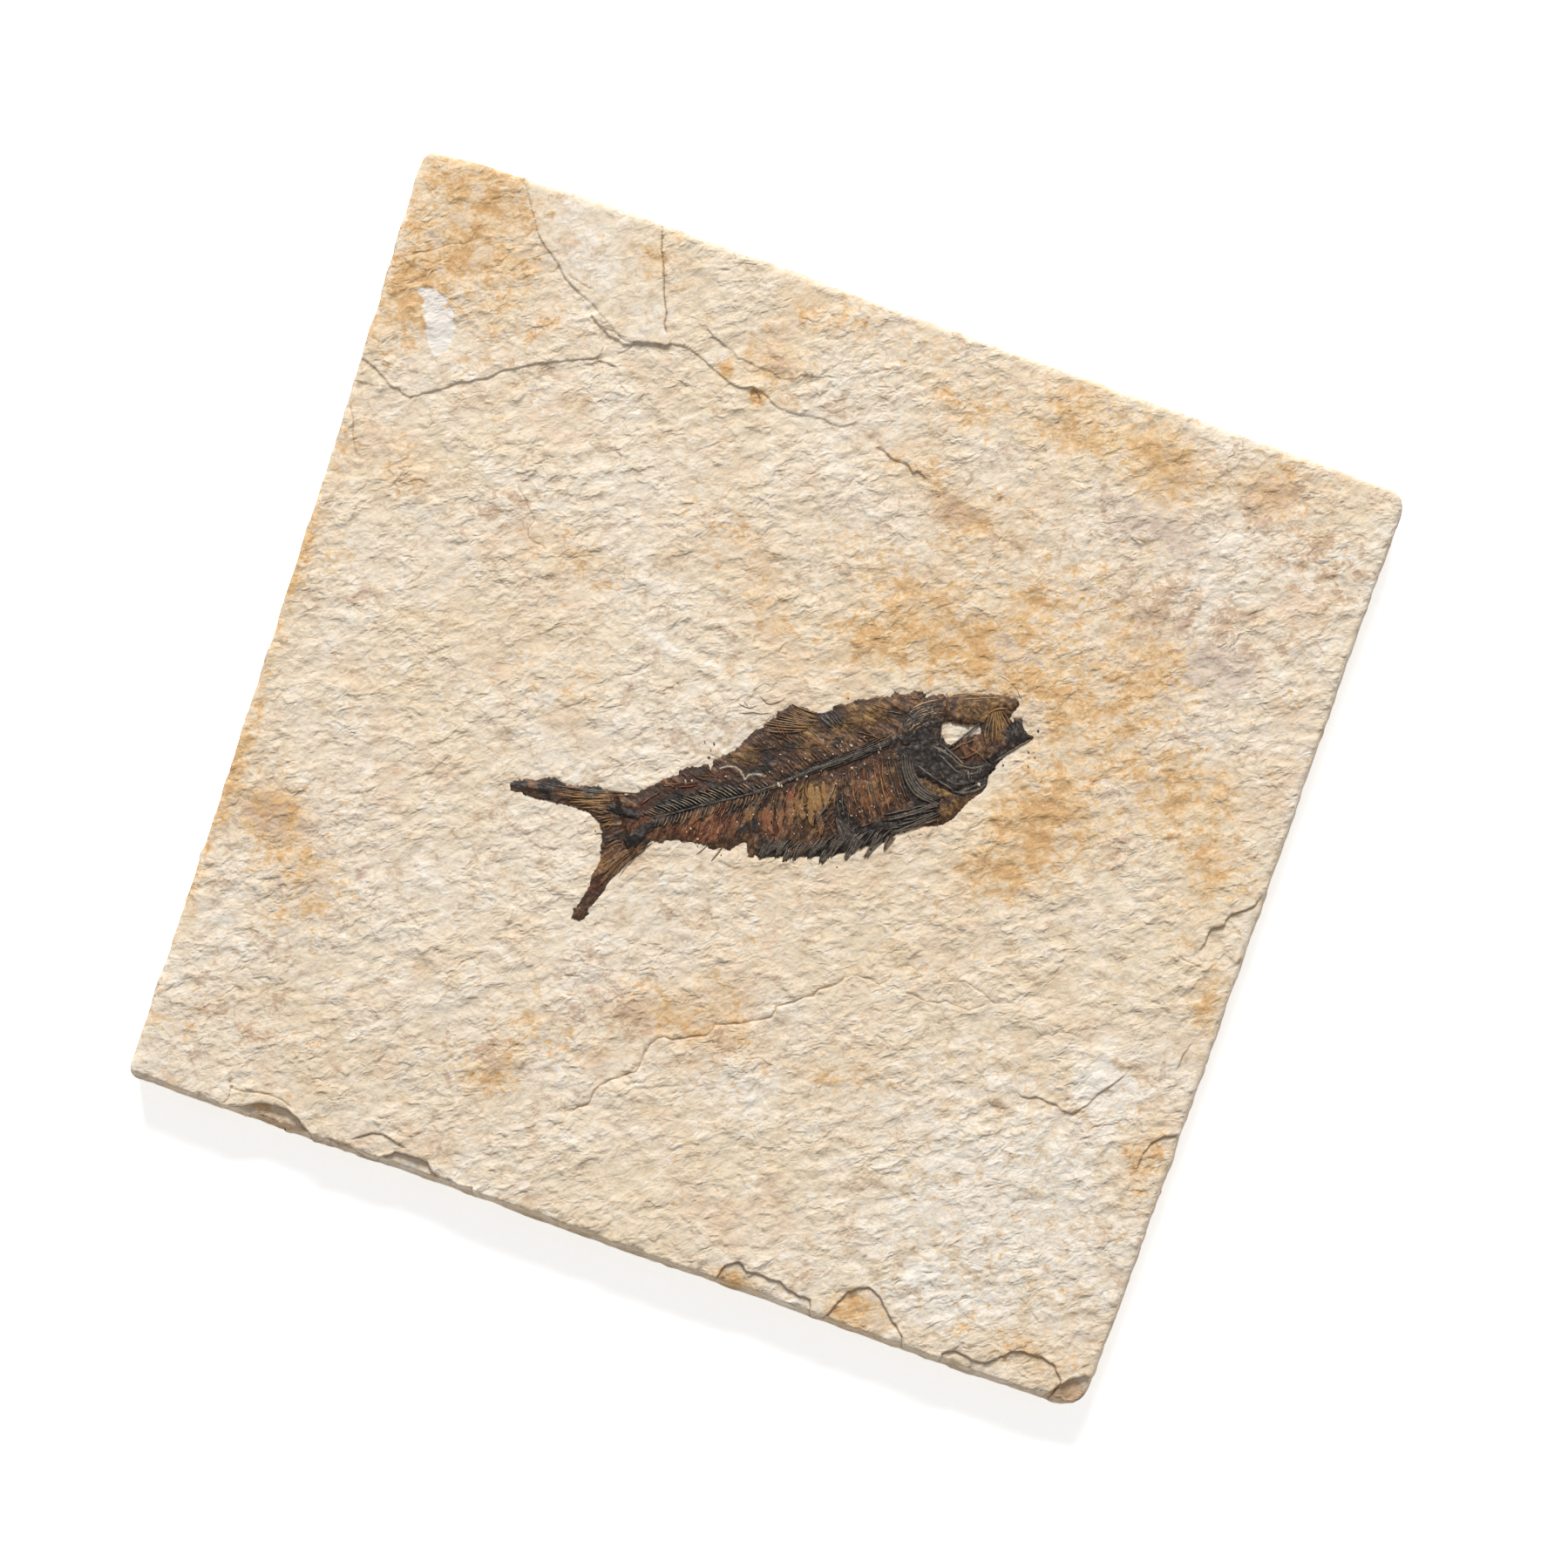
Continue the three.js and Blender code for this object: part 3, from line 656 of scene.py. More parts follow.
def build_slab(settings):
    """The slab's mesh in metres, with its stains and cracks painted on as numbers, and painted shade at its
    ledges, steps, spall edges, grain hollows and front and right edges.
    """
    fine_lines = [points_of(outline) for outline, _, _ in RAISED + BACK_LAYERS + SUNKEN]
    fine_lines += [points_of(line) for line, _, _ in LIPS + CRACKS]
    mesh = slab_grid(settings.stone_cell / MM, fine_lines)
    places = coordinates(mesh)
    plan, share = places[:, :2], places[:, 2]

    x, y = plan.T
    ragged = drift(plan, 0.9, 31.0, 32.0)
    wandering = drift(plan, 2.4, 33.0, 34.0)
    warped = plan + LEDGE_TEAR * ragged + LEDGE_WANDER * wandering
    rise, foot = layered_rise(plan, warped)
    drop, spall_edge_shade = broken_drop(warped)
    change, dark = lips_and_cracks(plan + CRACK_TEAR * ragged + CRACK_WANDER * wandering)
    grain = stone_grain(plan)

    fish_depth, under = under_fish(plan)
    tongue = smooth((rise - TONGUE_LEVEL) / 0.04)
    relief = grain * near_fish_share(fish_depth) * (1 - TONGUE_CALM * tongue) * settings.relief
    height = BED + relief + rise - drop + change - FISH_SEAT * under

    left, right, front, back = rim_distance(plan)
    side = np.minimum(np.minimum(left, right), np.minimum(front, back))
    height -= worn_rim(x, y, side, front, right)

    top = share > 0.999
    bottom = share < 0.001
    wall = ~top & ~bottom
    rim = side < 1e-6
    floor_dent = 0.12 * np.maximum(0, perlin(x, y, 7.0, 51.0))
    z = np.where(top, height, 0.0)
    z[bottom] = floor_dent[bottom] * (side[bottom] > 0.5)
    z[wall] = (share * height)[wall]
    plan = plan + wall_bulge(x, y, z, share) * (rim * (wall | bottom))[:, None]

    place_vertices(mesh, np.column_stack((plan, z)) * MM)
    paint(
        mesh,
        ochre=stain(plan, OCHRE),
        brown=stain(plan, BROWN),
        pale=stain(plan, PALE),
        lilac=stain(plan, LILAC),
        # cracks, pits and flecks in their own dark colour, with painted shade at the foot of ledges and
        # steps and just inside spall edges
        crack=np.minimum(1.0, np.maximum(dark, np.maximum(foot, 0.8 * spall_edge_shade))) * top,
        bruise=smooth(0.5 + signed_depth(plan + 0.7 * ragged, points_of(BRUISE)) / 0.5) * top,
        # painted shade along the front and right edges
        rim=np.clip(1 - np.minimum(front / 1.1, right / 0.5), 0, 1) * (top | wall),
        wall=(~top).astype(float),
        calm=tongue * top,
        # painted shade in the grain's low places
        hollow=np.clip(0.5 - grain / 0.7, 0, 1) * top,
    )
    return mesh


# ---------------- the fish's outline and bones
# Fish millimetres: x towards the head, y towards the back, from a point on the backbone.
TAIL_EDGE = (
    (-23.2, 4.3), (-24, 4.9), (-25, 5.6), (-26.2, 6.4), (-27, 6.9), (-28.2, 7.3), (-29.3, 7.85),
    (-28.9, 7.45), (-29.6, 7.6), (-30.6, 8.2), (-31.4, 9.3), (-32.2, 10), (-34.5, 10.3), (-35.2, 10.7),
    (-36.5, 11), (-37.5, 11.2), (-38.8, 11), (-38.3, 10.6), (-38.6, 10.1), (-37.8, 9.5), (-37, 9.4),
    (-36.9, 8.7), (-36, 8.2), (-35.3, 7.6), (-34.2, 7.2), (-33.6, 6.75), (-32.6, 6.2), (-31.4, 5.5),
    (-30.6, 4.9), (-29, 3.7), (-28.4, 3), (-27.9, 1.75), (-27.8, 1), (-27.9, -0.1), (-28.25, -1.1),
    (-28.7, -1.7), (-28.6, -2.3), (-29.1, -2.8), (-29.3, -3.6), (-29.8, -4.3), (-31.1, -5.3), (-31.5, -5.9),
    (-32, -6.8), (-32.9, -7.6), (-34, -8.5), (-35.1, -9.3), (-35.4, -9.7), (-35.9, -10.3), (-35.1, -11.2),
    (-34.5, -10.9), (-34.2, -11), (-33.1, -10.4), (-33.3, -10), (-31.8, -9), (-30.8, -8.4), (-30, -7.9),
    (-29.7, -7.4), (-28.7, -6.7), (-27.3, -6), (-25.6, -5.2), (-23.6, -3.9), (-22.5, -3.8), (-22.3, -3.5),
    (-21.1, -3.3), (-20.4, -3.9), (-19.8, -4), (-19.5, -3.6), (-18.1, -4.2),
)
BELLY_EDGE = (
    (-17.5, -4.3), (-17.25, -4.8), (-16, -5.1), (-15.2, -5.7), (-14, -6.3), (-13.7, -7), (-13, -7.3),
    (-12, -7.2), (-11, -8.1), (-10, -7.8), (-9, -7.5), (-8.3, -7.7), (-8.5, -8.7), (-8.8, -9.7),
    (-8, -10.1), (-7.7, -9.7), (-6.7, -10.5), (-5, -11), (-3.5, -11.5), (-1.5, -12.1), (0, -12.6),
    (1.5, -13), (3.6, -13.4), (5.5, -13.6), (8, -13.7), (10, -13.9), (12, -13.7), (12.7, -13.2),
    (13.5, -13.3), (15.9, -13.1), (18.5, -13.9), (19.5, -14), (21.2, -13.7), (23.8, -12.2), (24.4, -11.8),
    (26.2, -11.4), (27.3, -10.8), (27.6, -10.2),
)
JAW_EDGE = (
    (28.3, -9.25), (29.4, -8.8), (29.75, -8.1), (31, -7.45), (32.4, -7), (34, -6.6), (35.5, -6.4),
    (36.1, -6.05), (35.7, -5.5), (35.3, -5.1), (35.1, -4.6), (35, -3.6), (35.45, -3.1), (34.75, -2.7),
    (34.1, -2.45), (33.6, -3.2), (33.5, -2.5), (33.9, -1.9), (34.6, -1.5), (35.45, -1.1), (35.6, -0.5),
    (35.4, 0.1),
)
BACK_EDGE = (
    (34.4, 0.75), (32.7, 1.5), (31, 2.15), (29.1, 2.8), (27.6, 3.3), (26, 3.3), (25.5, 3.9), (24.7, 4.1),
    (23.7, 4.3), (22.8, 4.2), (22.2, 3.9), (22.6, 4.4), (23.3, 4.7), (22.5, 5.3), (21.3, 5.7), (20.5, 5.6),
    (20, 5.3), (18.8, 6.6), (18.7, 6.2), (17.8, 6.1), (16.2, 6.5), (14.2, 6.7), (13.8, 7), (12.2, 7),
    (10.7, 7.25), (9.75, 7.2), (9.5, 6.7), (8.3, 6.7), (7.25, 7.1), (6.3, 7.8), (5.3, 8.5), (3.8, 9.3),
    (3.6, 8.95), (2.8, 9.25), (2.4, 8.8), (1.8, 9), (1.6, 8.3), (0.8, 8.2), (0, 7.6), (-1.2, 7.4),
    (-2.5, 7.2), (-4, 6.5), (-5, 5.8), (-6.2, 5.5), (-7, 5.2), (-8.3, 5.2), (-9.25, 5), (-9.6, 4.2),
    (-10, 3.8), (-10.1, 4.8), (-11.3, 4.9), (-12.7, 5.25), (-14.1, 5.2), (-15, 4.75), (-17, 4.7),
    (-18, 4.4), (-20, 4.3), (-21, 4.05),
)
FISH_OUTLINE = np.array(TAIL_EDGE + BELLY_EDGE + JAW_EDGE + BACK_EDGE)
EYE_GAP = np.array((
    (23.9, -0.1), (24.6, 0), (25.4, -0.4), (26.3, -0.7), (27.1, -1.3), (28.2, -1.7), (29.2, -1.75),
    (29.3, -2.4), (28.9, -3.1), (28.2, -3.2), (27.5, -2.95), (26.6, -2.9), (25.5, -3.3), (24.4, -3.6),
    (23.6, -2.8), (23.45, -1.4),
))

BACKBONE = ((-21.5, 0.1), (-18, -0.3), (-14, -0.5), (-10, -0.8), (-6, -1.15), (-1.7, -1.1), (4, -0.6),
            (9, -0.45), (14, -0.3), (18.5, 0.3))

# A tone shift says how much darker, more golden and redder a bone is than the skin around it.
BLACK_TONE = (0.9, -0.5, -0.3)

# Broad bones: outlines, then each one with its rise above the skin and its tone shift.
GILL_COVER = (
    (17.6, -2.2), (19, -1.2), (21.5, -1.5), (23, -3.3), (24.1, -4.7), (24.9, -6.4), (25.5, -7.3),
    (28.5, -7.5), (29.7, -8.1), (28.2, -9.1), (26.5, -9.5), (24.5, -9.8), (22.9, -10), (21.5, -8.9),
    (20.2, -7.7), (18.9, -6.6), (17.9, -5.6), (17.5, -4),
)
SKULL_BACK = (
    (17.6, 1.1), (18.9, 2), (20, 3), (20.6, 4.05), (21.3, 3.6), (22, 3.8), (23, 4.25), (24.4, 4.15),
    (25.6, 3.6), (25.9, 3), (25.3, 2), (25.2, 0.9), (24.4, 0.3), (23.4, -0.3), (23, -2.2), (22.4, -3),
    (21, -2.2), (19.4, -1.6), (18, -1.4), (17, -0.4),
)
SKULL_ROOF = (
    (25.5, 2.6), (25.9, 3.3), (27.6, 3.2), (29.1, 2.75), (31, 2.1), (32.7, 1.45), (34.4, 0.7),
    (35.35, 0.05), (35.5, -0.5), (35.3, -1.05), (34.4, -1.5), (33.7, -0.9), (32.8, -0.5), (31.6, -0.6),
    (30.8, -1), (29.8, -1.8), (28.8, -1.6), (27.3, -1.1), (26.4, -0.5), (25.5, -0.2), (25.1, 0.4),
    (25.1, 1.2),
)
LOWER_JAW = (
    (28.6, -6.7), (29.8, -5.9), (31.5, -5.3), (33, -4.5), (33.9, -3.6), (34.2, -2.6), (34.9, -2.7),
    (35.4, -3.1), (35, -3.7), (35.1, -4.7), (35.4, -5.3), (36.1, -6.05), (34, -6.55), (32.4, -6.95),
    (31, -7.4), (29.6, -7.9), (28.7, -7.6),
)
THROAT_PATCH = (
    (18.7, -13.7), (19.2, -12.9), (20, -11.6), (21, -10.9), (22.3, -10.25), (23.2, -10.7), (24, -11.2),
    (24.3, -11.8), (23.5, -12.4), (22, -13.1), (20.5, -13.8), (19.5, -13.9),
)
THROAT_GOLD = (
    (18, -6), (18.3, -7.5), (19, -9), (20, -9.8), (21.2, -11), (21.9, -11.7), (22.3, -10.2), (21.3, -9.2),
    (19.9, -8),
)
FAN_PLATE = (
    (5.1, -8.1), (4.7, -9.6), (4.4, -11.4), (4.3, -13.2), (6, -13.4), (8, -13.3), (7, -11.4), (6, -9.6),
)
UPPER_TAIL_PLATE = ((-26.2, 3.5), (-25, 3.6), (-21.2, 0.7), (-21.5, 0.1), (-23.5, 1), (-26.2, 2.9))
LOWER_TAIL_PLATE = (
    (-25.2, -1.8), (-25.1, -3.4), (-24.5, -3.6), (-21.5, -2.3), (-19, -1.2), (-19.5, -0.3), (-21, -0.45),
    (-23.5, -1.2),
)
PLATES = {
    "gill_cover": (GILL_COVER, 0.2, (0.6, -0.5, -0.3)),
    "skull_back": (SKULL_BACK, 0.2, (0.2, -0.3, 0)),
    "skull_roof": (SKULL_ROOF, 0.22, (-0.3, 0.2, 0)),
    "lower_jaw": (LOWER_JAW, 0.22, (0.5, -0.4, -0.2)),
    "throat_patch": (THROAT_PATCH, 0.1, (-0.6, 0.2, 0)),
    "throat_plate": (THROAT_GOLD, 0.08, (-1.3, 0.4, 0)),
    "belly_fan_plate": (FAN_PLATE, 0.14, (0.7, -0.4, -0.2)),
    "upper_tail_plate": (UPPER_TAIL_PLATE, 0.22, BLACK_TONE),
    "lower_tail_plate": (LOWER_TAIL_PLATE, 0.24, BLACK_TONE),
}

# Single bones: (path, width, height above the skin).
GILL_RIDGES = (
    (((20.6, -1.9), (21.8, -2.9), (23.2, -4.2), (24.2, -5.8), (25, -7.1), (26.4, -7.7),
      (28.6, -7.8)), 0.42, 0.3),
    (((22.3, -2.4), (23.6, -3.7), (24.5, -5.3), (25.1, -6.7), (25.9, -7.1)), 0.3, 0.26),
    (((21.2, -3.1), (22.5, -4.6), (23.3, -6.4), (24.3, -7.9), (25.8, -8.5), (28.4, -8.3)), 0.36, 0.28),
    (((21.8, -7.4), (22.8, -8.9), (24.2, -9.4), (26, -9.2)), 0.3, 0.22),
    (((18.4, -4.2), (19.6, -6), (20.8, -7.6), (21.9, -9), (22.8, -9.9)), 0.4, 0.28),
    (((22.3, -9.8), (23.4, -10.5), (25, -10.85), (26.4, -10.8), (27.4, -10.4)), 0.55, 0.24),
    (((23.3, -10.1), (24.6, -10.35), (26, -10.1), (27.5, -10.1)), 0.35, 0.2),
    (((20.8, -10), (21.5, -10.8), (21.95, -11.8)), 0.22, 0.14),
)
EYE_STRUT = (
    (((23.2, -3.8), (24.4, -3.5), (25.7, -3.15), (27, -2.6), (28.2, -2.1), (29.2, -1.7),
      (30, -1.55)), 0.3, 0.15),
)
HEAD_BONES = (
    (((30.7, -0.9), (31.2, -0.7), (32.3, -0.45), (33.3, -0.75), (33.9, -1.3)), 0.34, 0.26),
    (((30.9, -1), (30.2, -2.2), (29.6, -3.2), (29.2, -4.4)), 0.42, 0.22),
    (((28.3, -8), (29.9, -7.65), (32, -7), (34, -6.5), (36.1, -6.1)), 0.34, 0.24),
    (((25.4, 3.2), (27, 3.05), (28.7, 2.75), (30.7, 2.15), (32.4, 1.5)), 0.34, 0.22),
    (((26, 2.5), (28.2, 2.3), (30.2, 1.8), (32.2, 1.25), (34.2, 0.55)), 0.24, 0.24),
    (((27.8, 2.05), (29.6, 1.55), (31, 1.4)), 0.26, 0.2),
    (((29.2, 1.5), (29.8, 0.4), (30.3, -0.6)), 0.2, 0.2),
    (((28.4, 1), (29.2, 0.3), (29.6, -0.7), (29.3, -1.6)), 0.26, 0.2),
    (((27.4, 1.6), (28.1, 0.6), (28.9, -0.5), (29.2, -1.5)), 0.3, 0.18),
    (((26.6, 1.9), (27.3, 1), (27.7, -0.1), (28.2, -1.2)), 0.24, 0.2),
    (((33, 1), (33.9, 0.2), (34.1, -0.8)), 0.22, 0.18),
    (((34.9, 0.1), (34.5, -0.5), (34.6, -1.2)), 0.3, 0.14),
    (((24.3, -4.2), (25.5, -3.9), (27, -3.8), (28.4, -3.7)), 0.3, 0.16),
    (((24.8, -5.6), (26, -5.9), (27.4, -5.6), (28.6, -5.2)), 0.24, 0.16),
    (((26.6, -4.6), (27.4, -5.4), (28, -6.4), (28.3, -7.2)), 0.24, 0.18),
    (((27.6, -4.2), (28.4, -5), (28.9, -6)), 0.2, 0.18),
    (((33.4, -4.9), (34.2, -4), (34.5, -3.1)), 0.4, 0.2),
)
CHEEK_FAN = (
    ((31.6, -0.8), (30.3, -2.6), (29.1, -5.3)), ((31.8, -0.8), (30.9, -2.8), (29.9, -5.2)),
    ((32, -0.8), (31.4, -2.8), (30.7, -5)), ((32.2, -0.8), (31.9, -2.8), (31.4, -4.8)),
    ((32.4, -0.8), (32.3, -2.6), (32.1, -4.6)), ((32.6, -0.9), (32.8, -2.4), (33, -3.9)),
    ((32.9, -1), (33.3, -2.2), (33.4, -3.3)),
)
LOOSE_SPIKES = (
    (((-14, -8.75), (-12.8, -7.95), (-11.6, -7.05)), 0.26, 0.2),
    (((-15.8, -7.2), (-14.7, -6.8), (-13.5, -6.2)), 0.16, 0.12),
    (((-25.1, -5), (-24, -4.75), (-22.6, -4.2)), 0.15, 0.14),
    (((-28.9, 0.05), (-28.4, 0.15), (-27.7, -0.05)), 0.12, 0.12),
    (((-26.25, 6.9), (-26.2, 6.3)), 0.14, 0.14),
    (((4.6, 6.35), (5.6, 5.3), (6.2, 4.4), (6.9, 3.1)), 0.14, 0.12),
    (((25.95, 4), (26.05, 3.3), (25.8, 2.5), (25.2, 1.5)), 0.12, 0.22),
    (((3.1, -0.9), (2.5, -1.7), (2, -2.4), (1.2, -3.1)), 0.24, 0.2),
    (((-8.9, -2.2), (-8, -1.7), (-7.2, -1.45)), 0.26, 0.18),
)
BODY_CREASES = (
    ((-8.6, 3.75), (-7.5, 3.65), (-6.5, 3.3), (-5.9, 2.4), (-5.7, 1.1)),
    ((-5.6, 1.1), (-5, 1.55), (-4.2, 1.4), (-3.2, 1)),
    ((4.5, 6.4), (5.8, 4.9), (6.9, 3)),
)

# Colour zones on the fish: (x, y, half width, half height, strength).
DARK_ZONES = (
    (21.5, 1.5, 4.2, 2.4, 0.75), (20.5, -3.5, 3.6, 3.2, 1.2), (25, -8.6, 5, 1.6, 1.2),
    (17.3, -6, 1.3, 4.4, 1.3), (15.5, -11.6, 5.4, 1.6, 1.2), (-5.5, -9.6, 2.6, 1.8, 1),
    (2, -12.3, 5.5, 1.3, 1.1), (6, -11, 1.8, 3, 1.1), (9.5, -12.3, 3.5, 1.8, 1.1),
    (-4.5, -3, 3.5, 1.6, 0.6), (-7, -5.6, 2.2, 1.2, 0.9), (6.8, -7.5, 1.2, 2.5, 0.7),
    (2.2, 3.6, 1.8, 0.9, 0.9), (-1.7, 2.6, 1.2, 1.4, 0.8), (8.6, 5.7, 1.9, 1.5, 1.3),
    (34, -4.8, 2.2, 1.8, 1.3), (-33, 8.9, 2.6, 0.9, 1.5), (-36.9, 10.4, 1.5, 0.8, 1.2),
    (-27, 6.3, 2.2, 0.8, 0.9), (-24.2, 3.2, 1.6, 0.7, 0.6), (-22.5, 1.3, 2, 1, 0.5),
    (-23, -2.4, 2.2, 1, 1), (-33.2, 7.2, 1.5, 0.7, 0.8), (-26.5, -0.9, 2.2, 0.6, 0.9),
    (-12, 1, 9.5, 1.9, 0.75), (-12, 4.3, 6, 1, 0.55), (-17, 1.4, 1.8, 0.9, 1.1),
    (9, -0.5, 9, 0.85, 1.2), (-12, -0.6, 10, 0.55, 1), (-8.5, -2.6, 1.1, 0.7, 0.9),
    (30, -7.2, 3, 0.7, 1), (8.4, 1.8, 1.6, 0.9, 0.8), (-3, 1.4, 2, 0.8, 0.8), (17.5, 3.6, 1.8, 1.2, 0.6),
    (30.3, -2.4, 1, 1.6, 0.8), (2.8, -7.6, 1.6, 1.4, 0.6), (24.6, -10.4, 3, 0.8, 1.2),
)
GOLD_ZONES = (
    (11.5, -5.8, 5, 3.6, 0.95), (-35, 8.6, 1.6, 0.8, 0.6), (13, 4.5, 6, 2.3, 1.2),
    (3.3, -4.3, 2.8, 2.4, 1.1), (1.3, -8.6, 1.1, 1.1, 0.9), (30.5, 1, 4.6, 1.9, 1.1),
    (20, -8.6, 2, 1.6, 1.2), (22, -12.3, 2.4, 1.2, 1), (31.3, -3, 1.9, 2.2, 1),
    (-28.5, 5.3, 3.2, 1.6, 0.8), (-4.6, 4.3, 2.4, 1.8, 0.9), (5, 4.8, 1.8, 1.4, 0.8), (-26, 0.8, 2, 1, 0.5),
    (-6.5, -4.2, 2, 1.2, 0.7), (4.5, 2.4, 2.5, 1.2, 0.5), (-27.5, -4.6, 3, 1.2, 0.5),
    (-2.5, -5.8, 2, 1.6, 0.5),
)
RED_ZONES = (
    (-12, -4, 6, 2.6, 1), (-21, 2.2, 1.4, 1, 0.9), (-4, -6.5, 2.5, 2.5, 0.7), (26.2, -5, 2, 1.4, 0.5),
    (-31.5, -7, 2.5, 1.2, 0.9), (0.2, -3, 1.2, 1.2, 0.8), (-8.8, 3, 1.5, 0.8, 0.7),
    (-19, -2.6, 1.6, 0.9, 0.7), (11.5, -6, 5.5, 4.5, 0.75), (31.6, -6.2, 1, 0.6, 0.9),
    (-32.5, 7.9, 1.8, 0.5, 0.5), (-14, 2.6, 3, 1, 0.5), (-22, -0.5, 4, 2.5, 0.6), (-13, 1, 8, 2.5, 0.35),
    (-15, 4.5, 5, 1.5, 0.4),
)
GRIT_SPOTS = (
    (-1.3, -1.25, 0.28), (-0.95, -1.55, 0.19), (2.9, -1.3, 0.2), (10.55, 0.9, 0.19), (14.4, -0.7, 0.19),
    (14, -1.25, 0.16), (26.4, -10.15, 0.27), (33.9, -2.8, 0.28), (7.6, 0.6, 0.14), (6.5, -2.3, 0.17),
    (6.6, -3.6, 0.17), (9.6, -2.2, 0.17), (-15.4, -3.35, 0.16), (-16.1, -3.6, 0.11), (-8.2, 2.3, 0.14),
    (-14, 3.4, 0.19), (-13.1, 3.2, 0.17), (-14.9, -5.1, 0.17), (-15.2, -5.9, 0.2), (17.2, -5.5, 0.12),
    (1.5, -1.3, 0.12), (-8.7, -4.5, 0.12), (-2.9, -10.75, 0.16), (5.2, -1.2, 0.11), (0.3, 2.9, 0.12),
    (21.6, -6.6, 0.12), (3.6, 1.2, 0.12), (4.1, 0.8, 0.11), (-6.1, -4.2, 0.14), (11.5, -2.2, 0.12),
)


# ---------------- the fish's shape
SKIN_EDGE = 0.10
SKIN_BODY = 0.26
SKIN_FOOT = 0.34


def to_slab(points):
    """Fish millimetres as slab millimetres."""
    c, s = math.cos(FISH_TURN), math.sin(FISH_TURN)
    x, y = points.T
    return np.stack((x * c - y * s, x * s + y * c), axis=1) + np.array(FISH_PLACE)


def ground(points):
    """How high the smoothed fossil or the bare stone lies at fish places, in millimetres."""
    depth = signed_depth(points, FISH_OUTLINE)
    swell = 0.07 * perlin(points[:, 0], points[:, 1], 4.0, 71.0)
    skin = BED + SKIN_EDGE + (SKIN_BODY + swell) * smooth(depth / 1.6)
    outside = depth < 0
    if outside.any():
        grain = stone_grain(to_slab(points[outside]))
        skin[outside] = BED + grain * near_fish_share(depth[outside])
    return skin


def fibre_course(points):
    """A coordinate that runs across the fossil's fibres, in millimetres."""
    x, y = points.T
    axis = along_table(BACKBONE, x)
    reach = np.abs(y - axis)
    course = x + 0.75 * reach
    chest = smooth((x - 3.0) / 2.0) * smooth((axis - 1.4 - y) / 0.8)
    course = course + (x - 0.12 * y - course) * chest
    fan = np.arctan2(y - np.where(y > 0, -1.0, 0.2), -21.0 - x) * 9.0
    lobe = smooth((-23.8 - x) / 1.0)
    return course + (fan - course) * lobe


def flakes(u, v, size, seed):
    """A broken surface: how near each place is to a flake's edge, and each flake's level, 0 to 1."""
    edge = np.empty(len(u))
    level = np.empty(len(u))
    for index, (a, b) in enumerate(zip(u / size, v / size)):
        gaps, centres = noise.voronoi((a, b, seed))
        edge[index] = gaps[1] - gaps[0]
        level[index] = noise.cell(centres[0] * 7.3)
    return np.clip(edge * 3.0, 0, 1), (level + 1) / 2


def zone(points, patches):
    """How strongly a group of colour zones covers each fish place."""
    wander = 0.45 * drift(points, 1.5, 81.0, 82.0)
    total = np.zeros(len(points))
    for centre_x, centre_y, half_x, half_y, strength in patches:
        offset = (points + wander - (centre_x, centre_y)) / (half_x, half_y)
        total += strength * np.exp(-((offset**2).sum(axis=1) ** 1.5))
    return np.minimum(total, 1.3)


def paint_fossil(mesh, points, relief, lift=0.0, shade=None):
    """Stores the fossil's tones for its material; relief and lift set where it paints shade and highlight.
    """
    nothing = np.zeros((len(points), 3)) if shade is None else shade
    paint(
        mesh,
        dark=zone(points, DARK_ZONES) + nothing[:, 0],
        gold=zone(points, GOLD_ZONES) + nothing[:, 1],
        red=zone(points, RED_ZONES) + nothing[:, 2],
        course=fibre_course(points),
        relief=relief,
        lift=np.full(len(points), lift),
    )


def sheet(outline, cell, ragged, seed, gap=None):
    """A closed flat sheet of height 1 that fills an outline whose edge is a little ragged."""
    low = outline.min(axis=0) - cell
    high = outline.max(axis=0) + cell
    count = np.ceil((high - low) / cell).astype(int)
    bm = bmesh.new()
    bmesh.ops.create_grid(bm, x_segments=int(count[0]), y_segments=int(count[1]), size=0.5)
    bmesh.ops.scale(bm, verts=bm.verts, vec=(*(high - low), 1))
    bmesh.ops.translate(bm, verts=bm.verts, vec=(*((high + low) / 2), 0))

    def torn(places):
        """Places shifted so that a smooth outline comes out ragged."""
        shift = drift(places, 0.6, seed, seed + 0.5) + 0.9 * drift(places, 0.38, seed, seed + 0.7)
        return places + ragged * shift

    centres = torn(np.array([face.calc_center_median()[:2] for face in bm.faces]))
    kept = inside(centres, outline)
    if gap is not None:
        kept &= ~inside(centres, gap)
    unwanted = [face for face, keep in zip(bm.faces, kept) if not keep]
    bmesh.ops.delete(bm, geom=unwanted, context="FACES")
    while True:
        pinched = [
            vert for vert in bm.verts if sum(edge.is_boundary for edge in vert.link_edges) > 2
        ]
        loose = {vert.link_faces[0] for vert in pinched}
        if not loose:
            break
        bmesh.ops.delete(bm, geom=list(loose), context="FACES")

    border = [vert for vert in bm.verts if vert.is_boundary]
    places = np.array([vert.co[:2] for vert in border])
    average = np.array([
        sum((edge.other_vert(vert).co for edge in vert.link_edges if edge.is_boundary), Vector()) / 2
        for vert in border
    ])[:, :2]
    for vert, (x, y) in zip(border, places * 0.6 + average * 0.4):
        vert.co.x, vert.co.y = x, y

    thicken(bm)
    bmesh.ops.recalc_face_normals(bm, faces=bm.faces)
    return as_mesh(bm, "sheet")


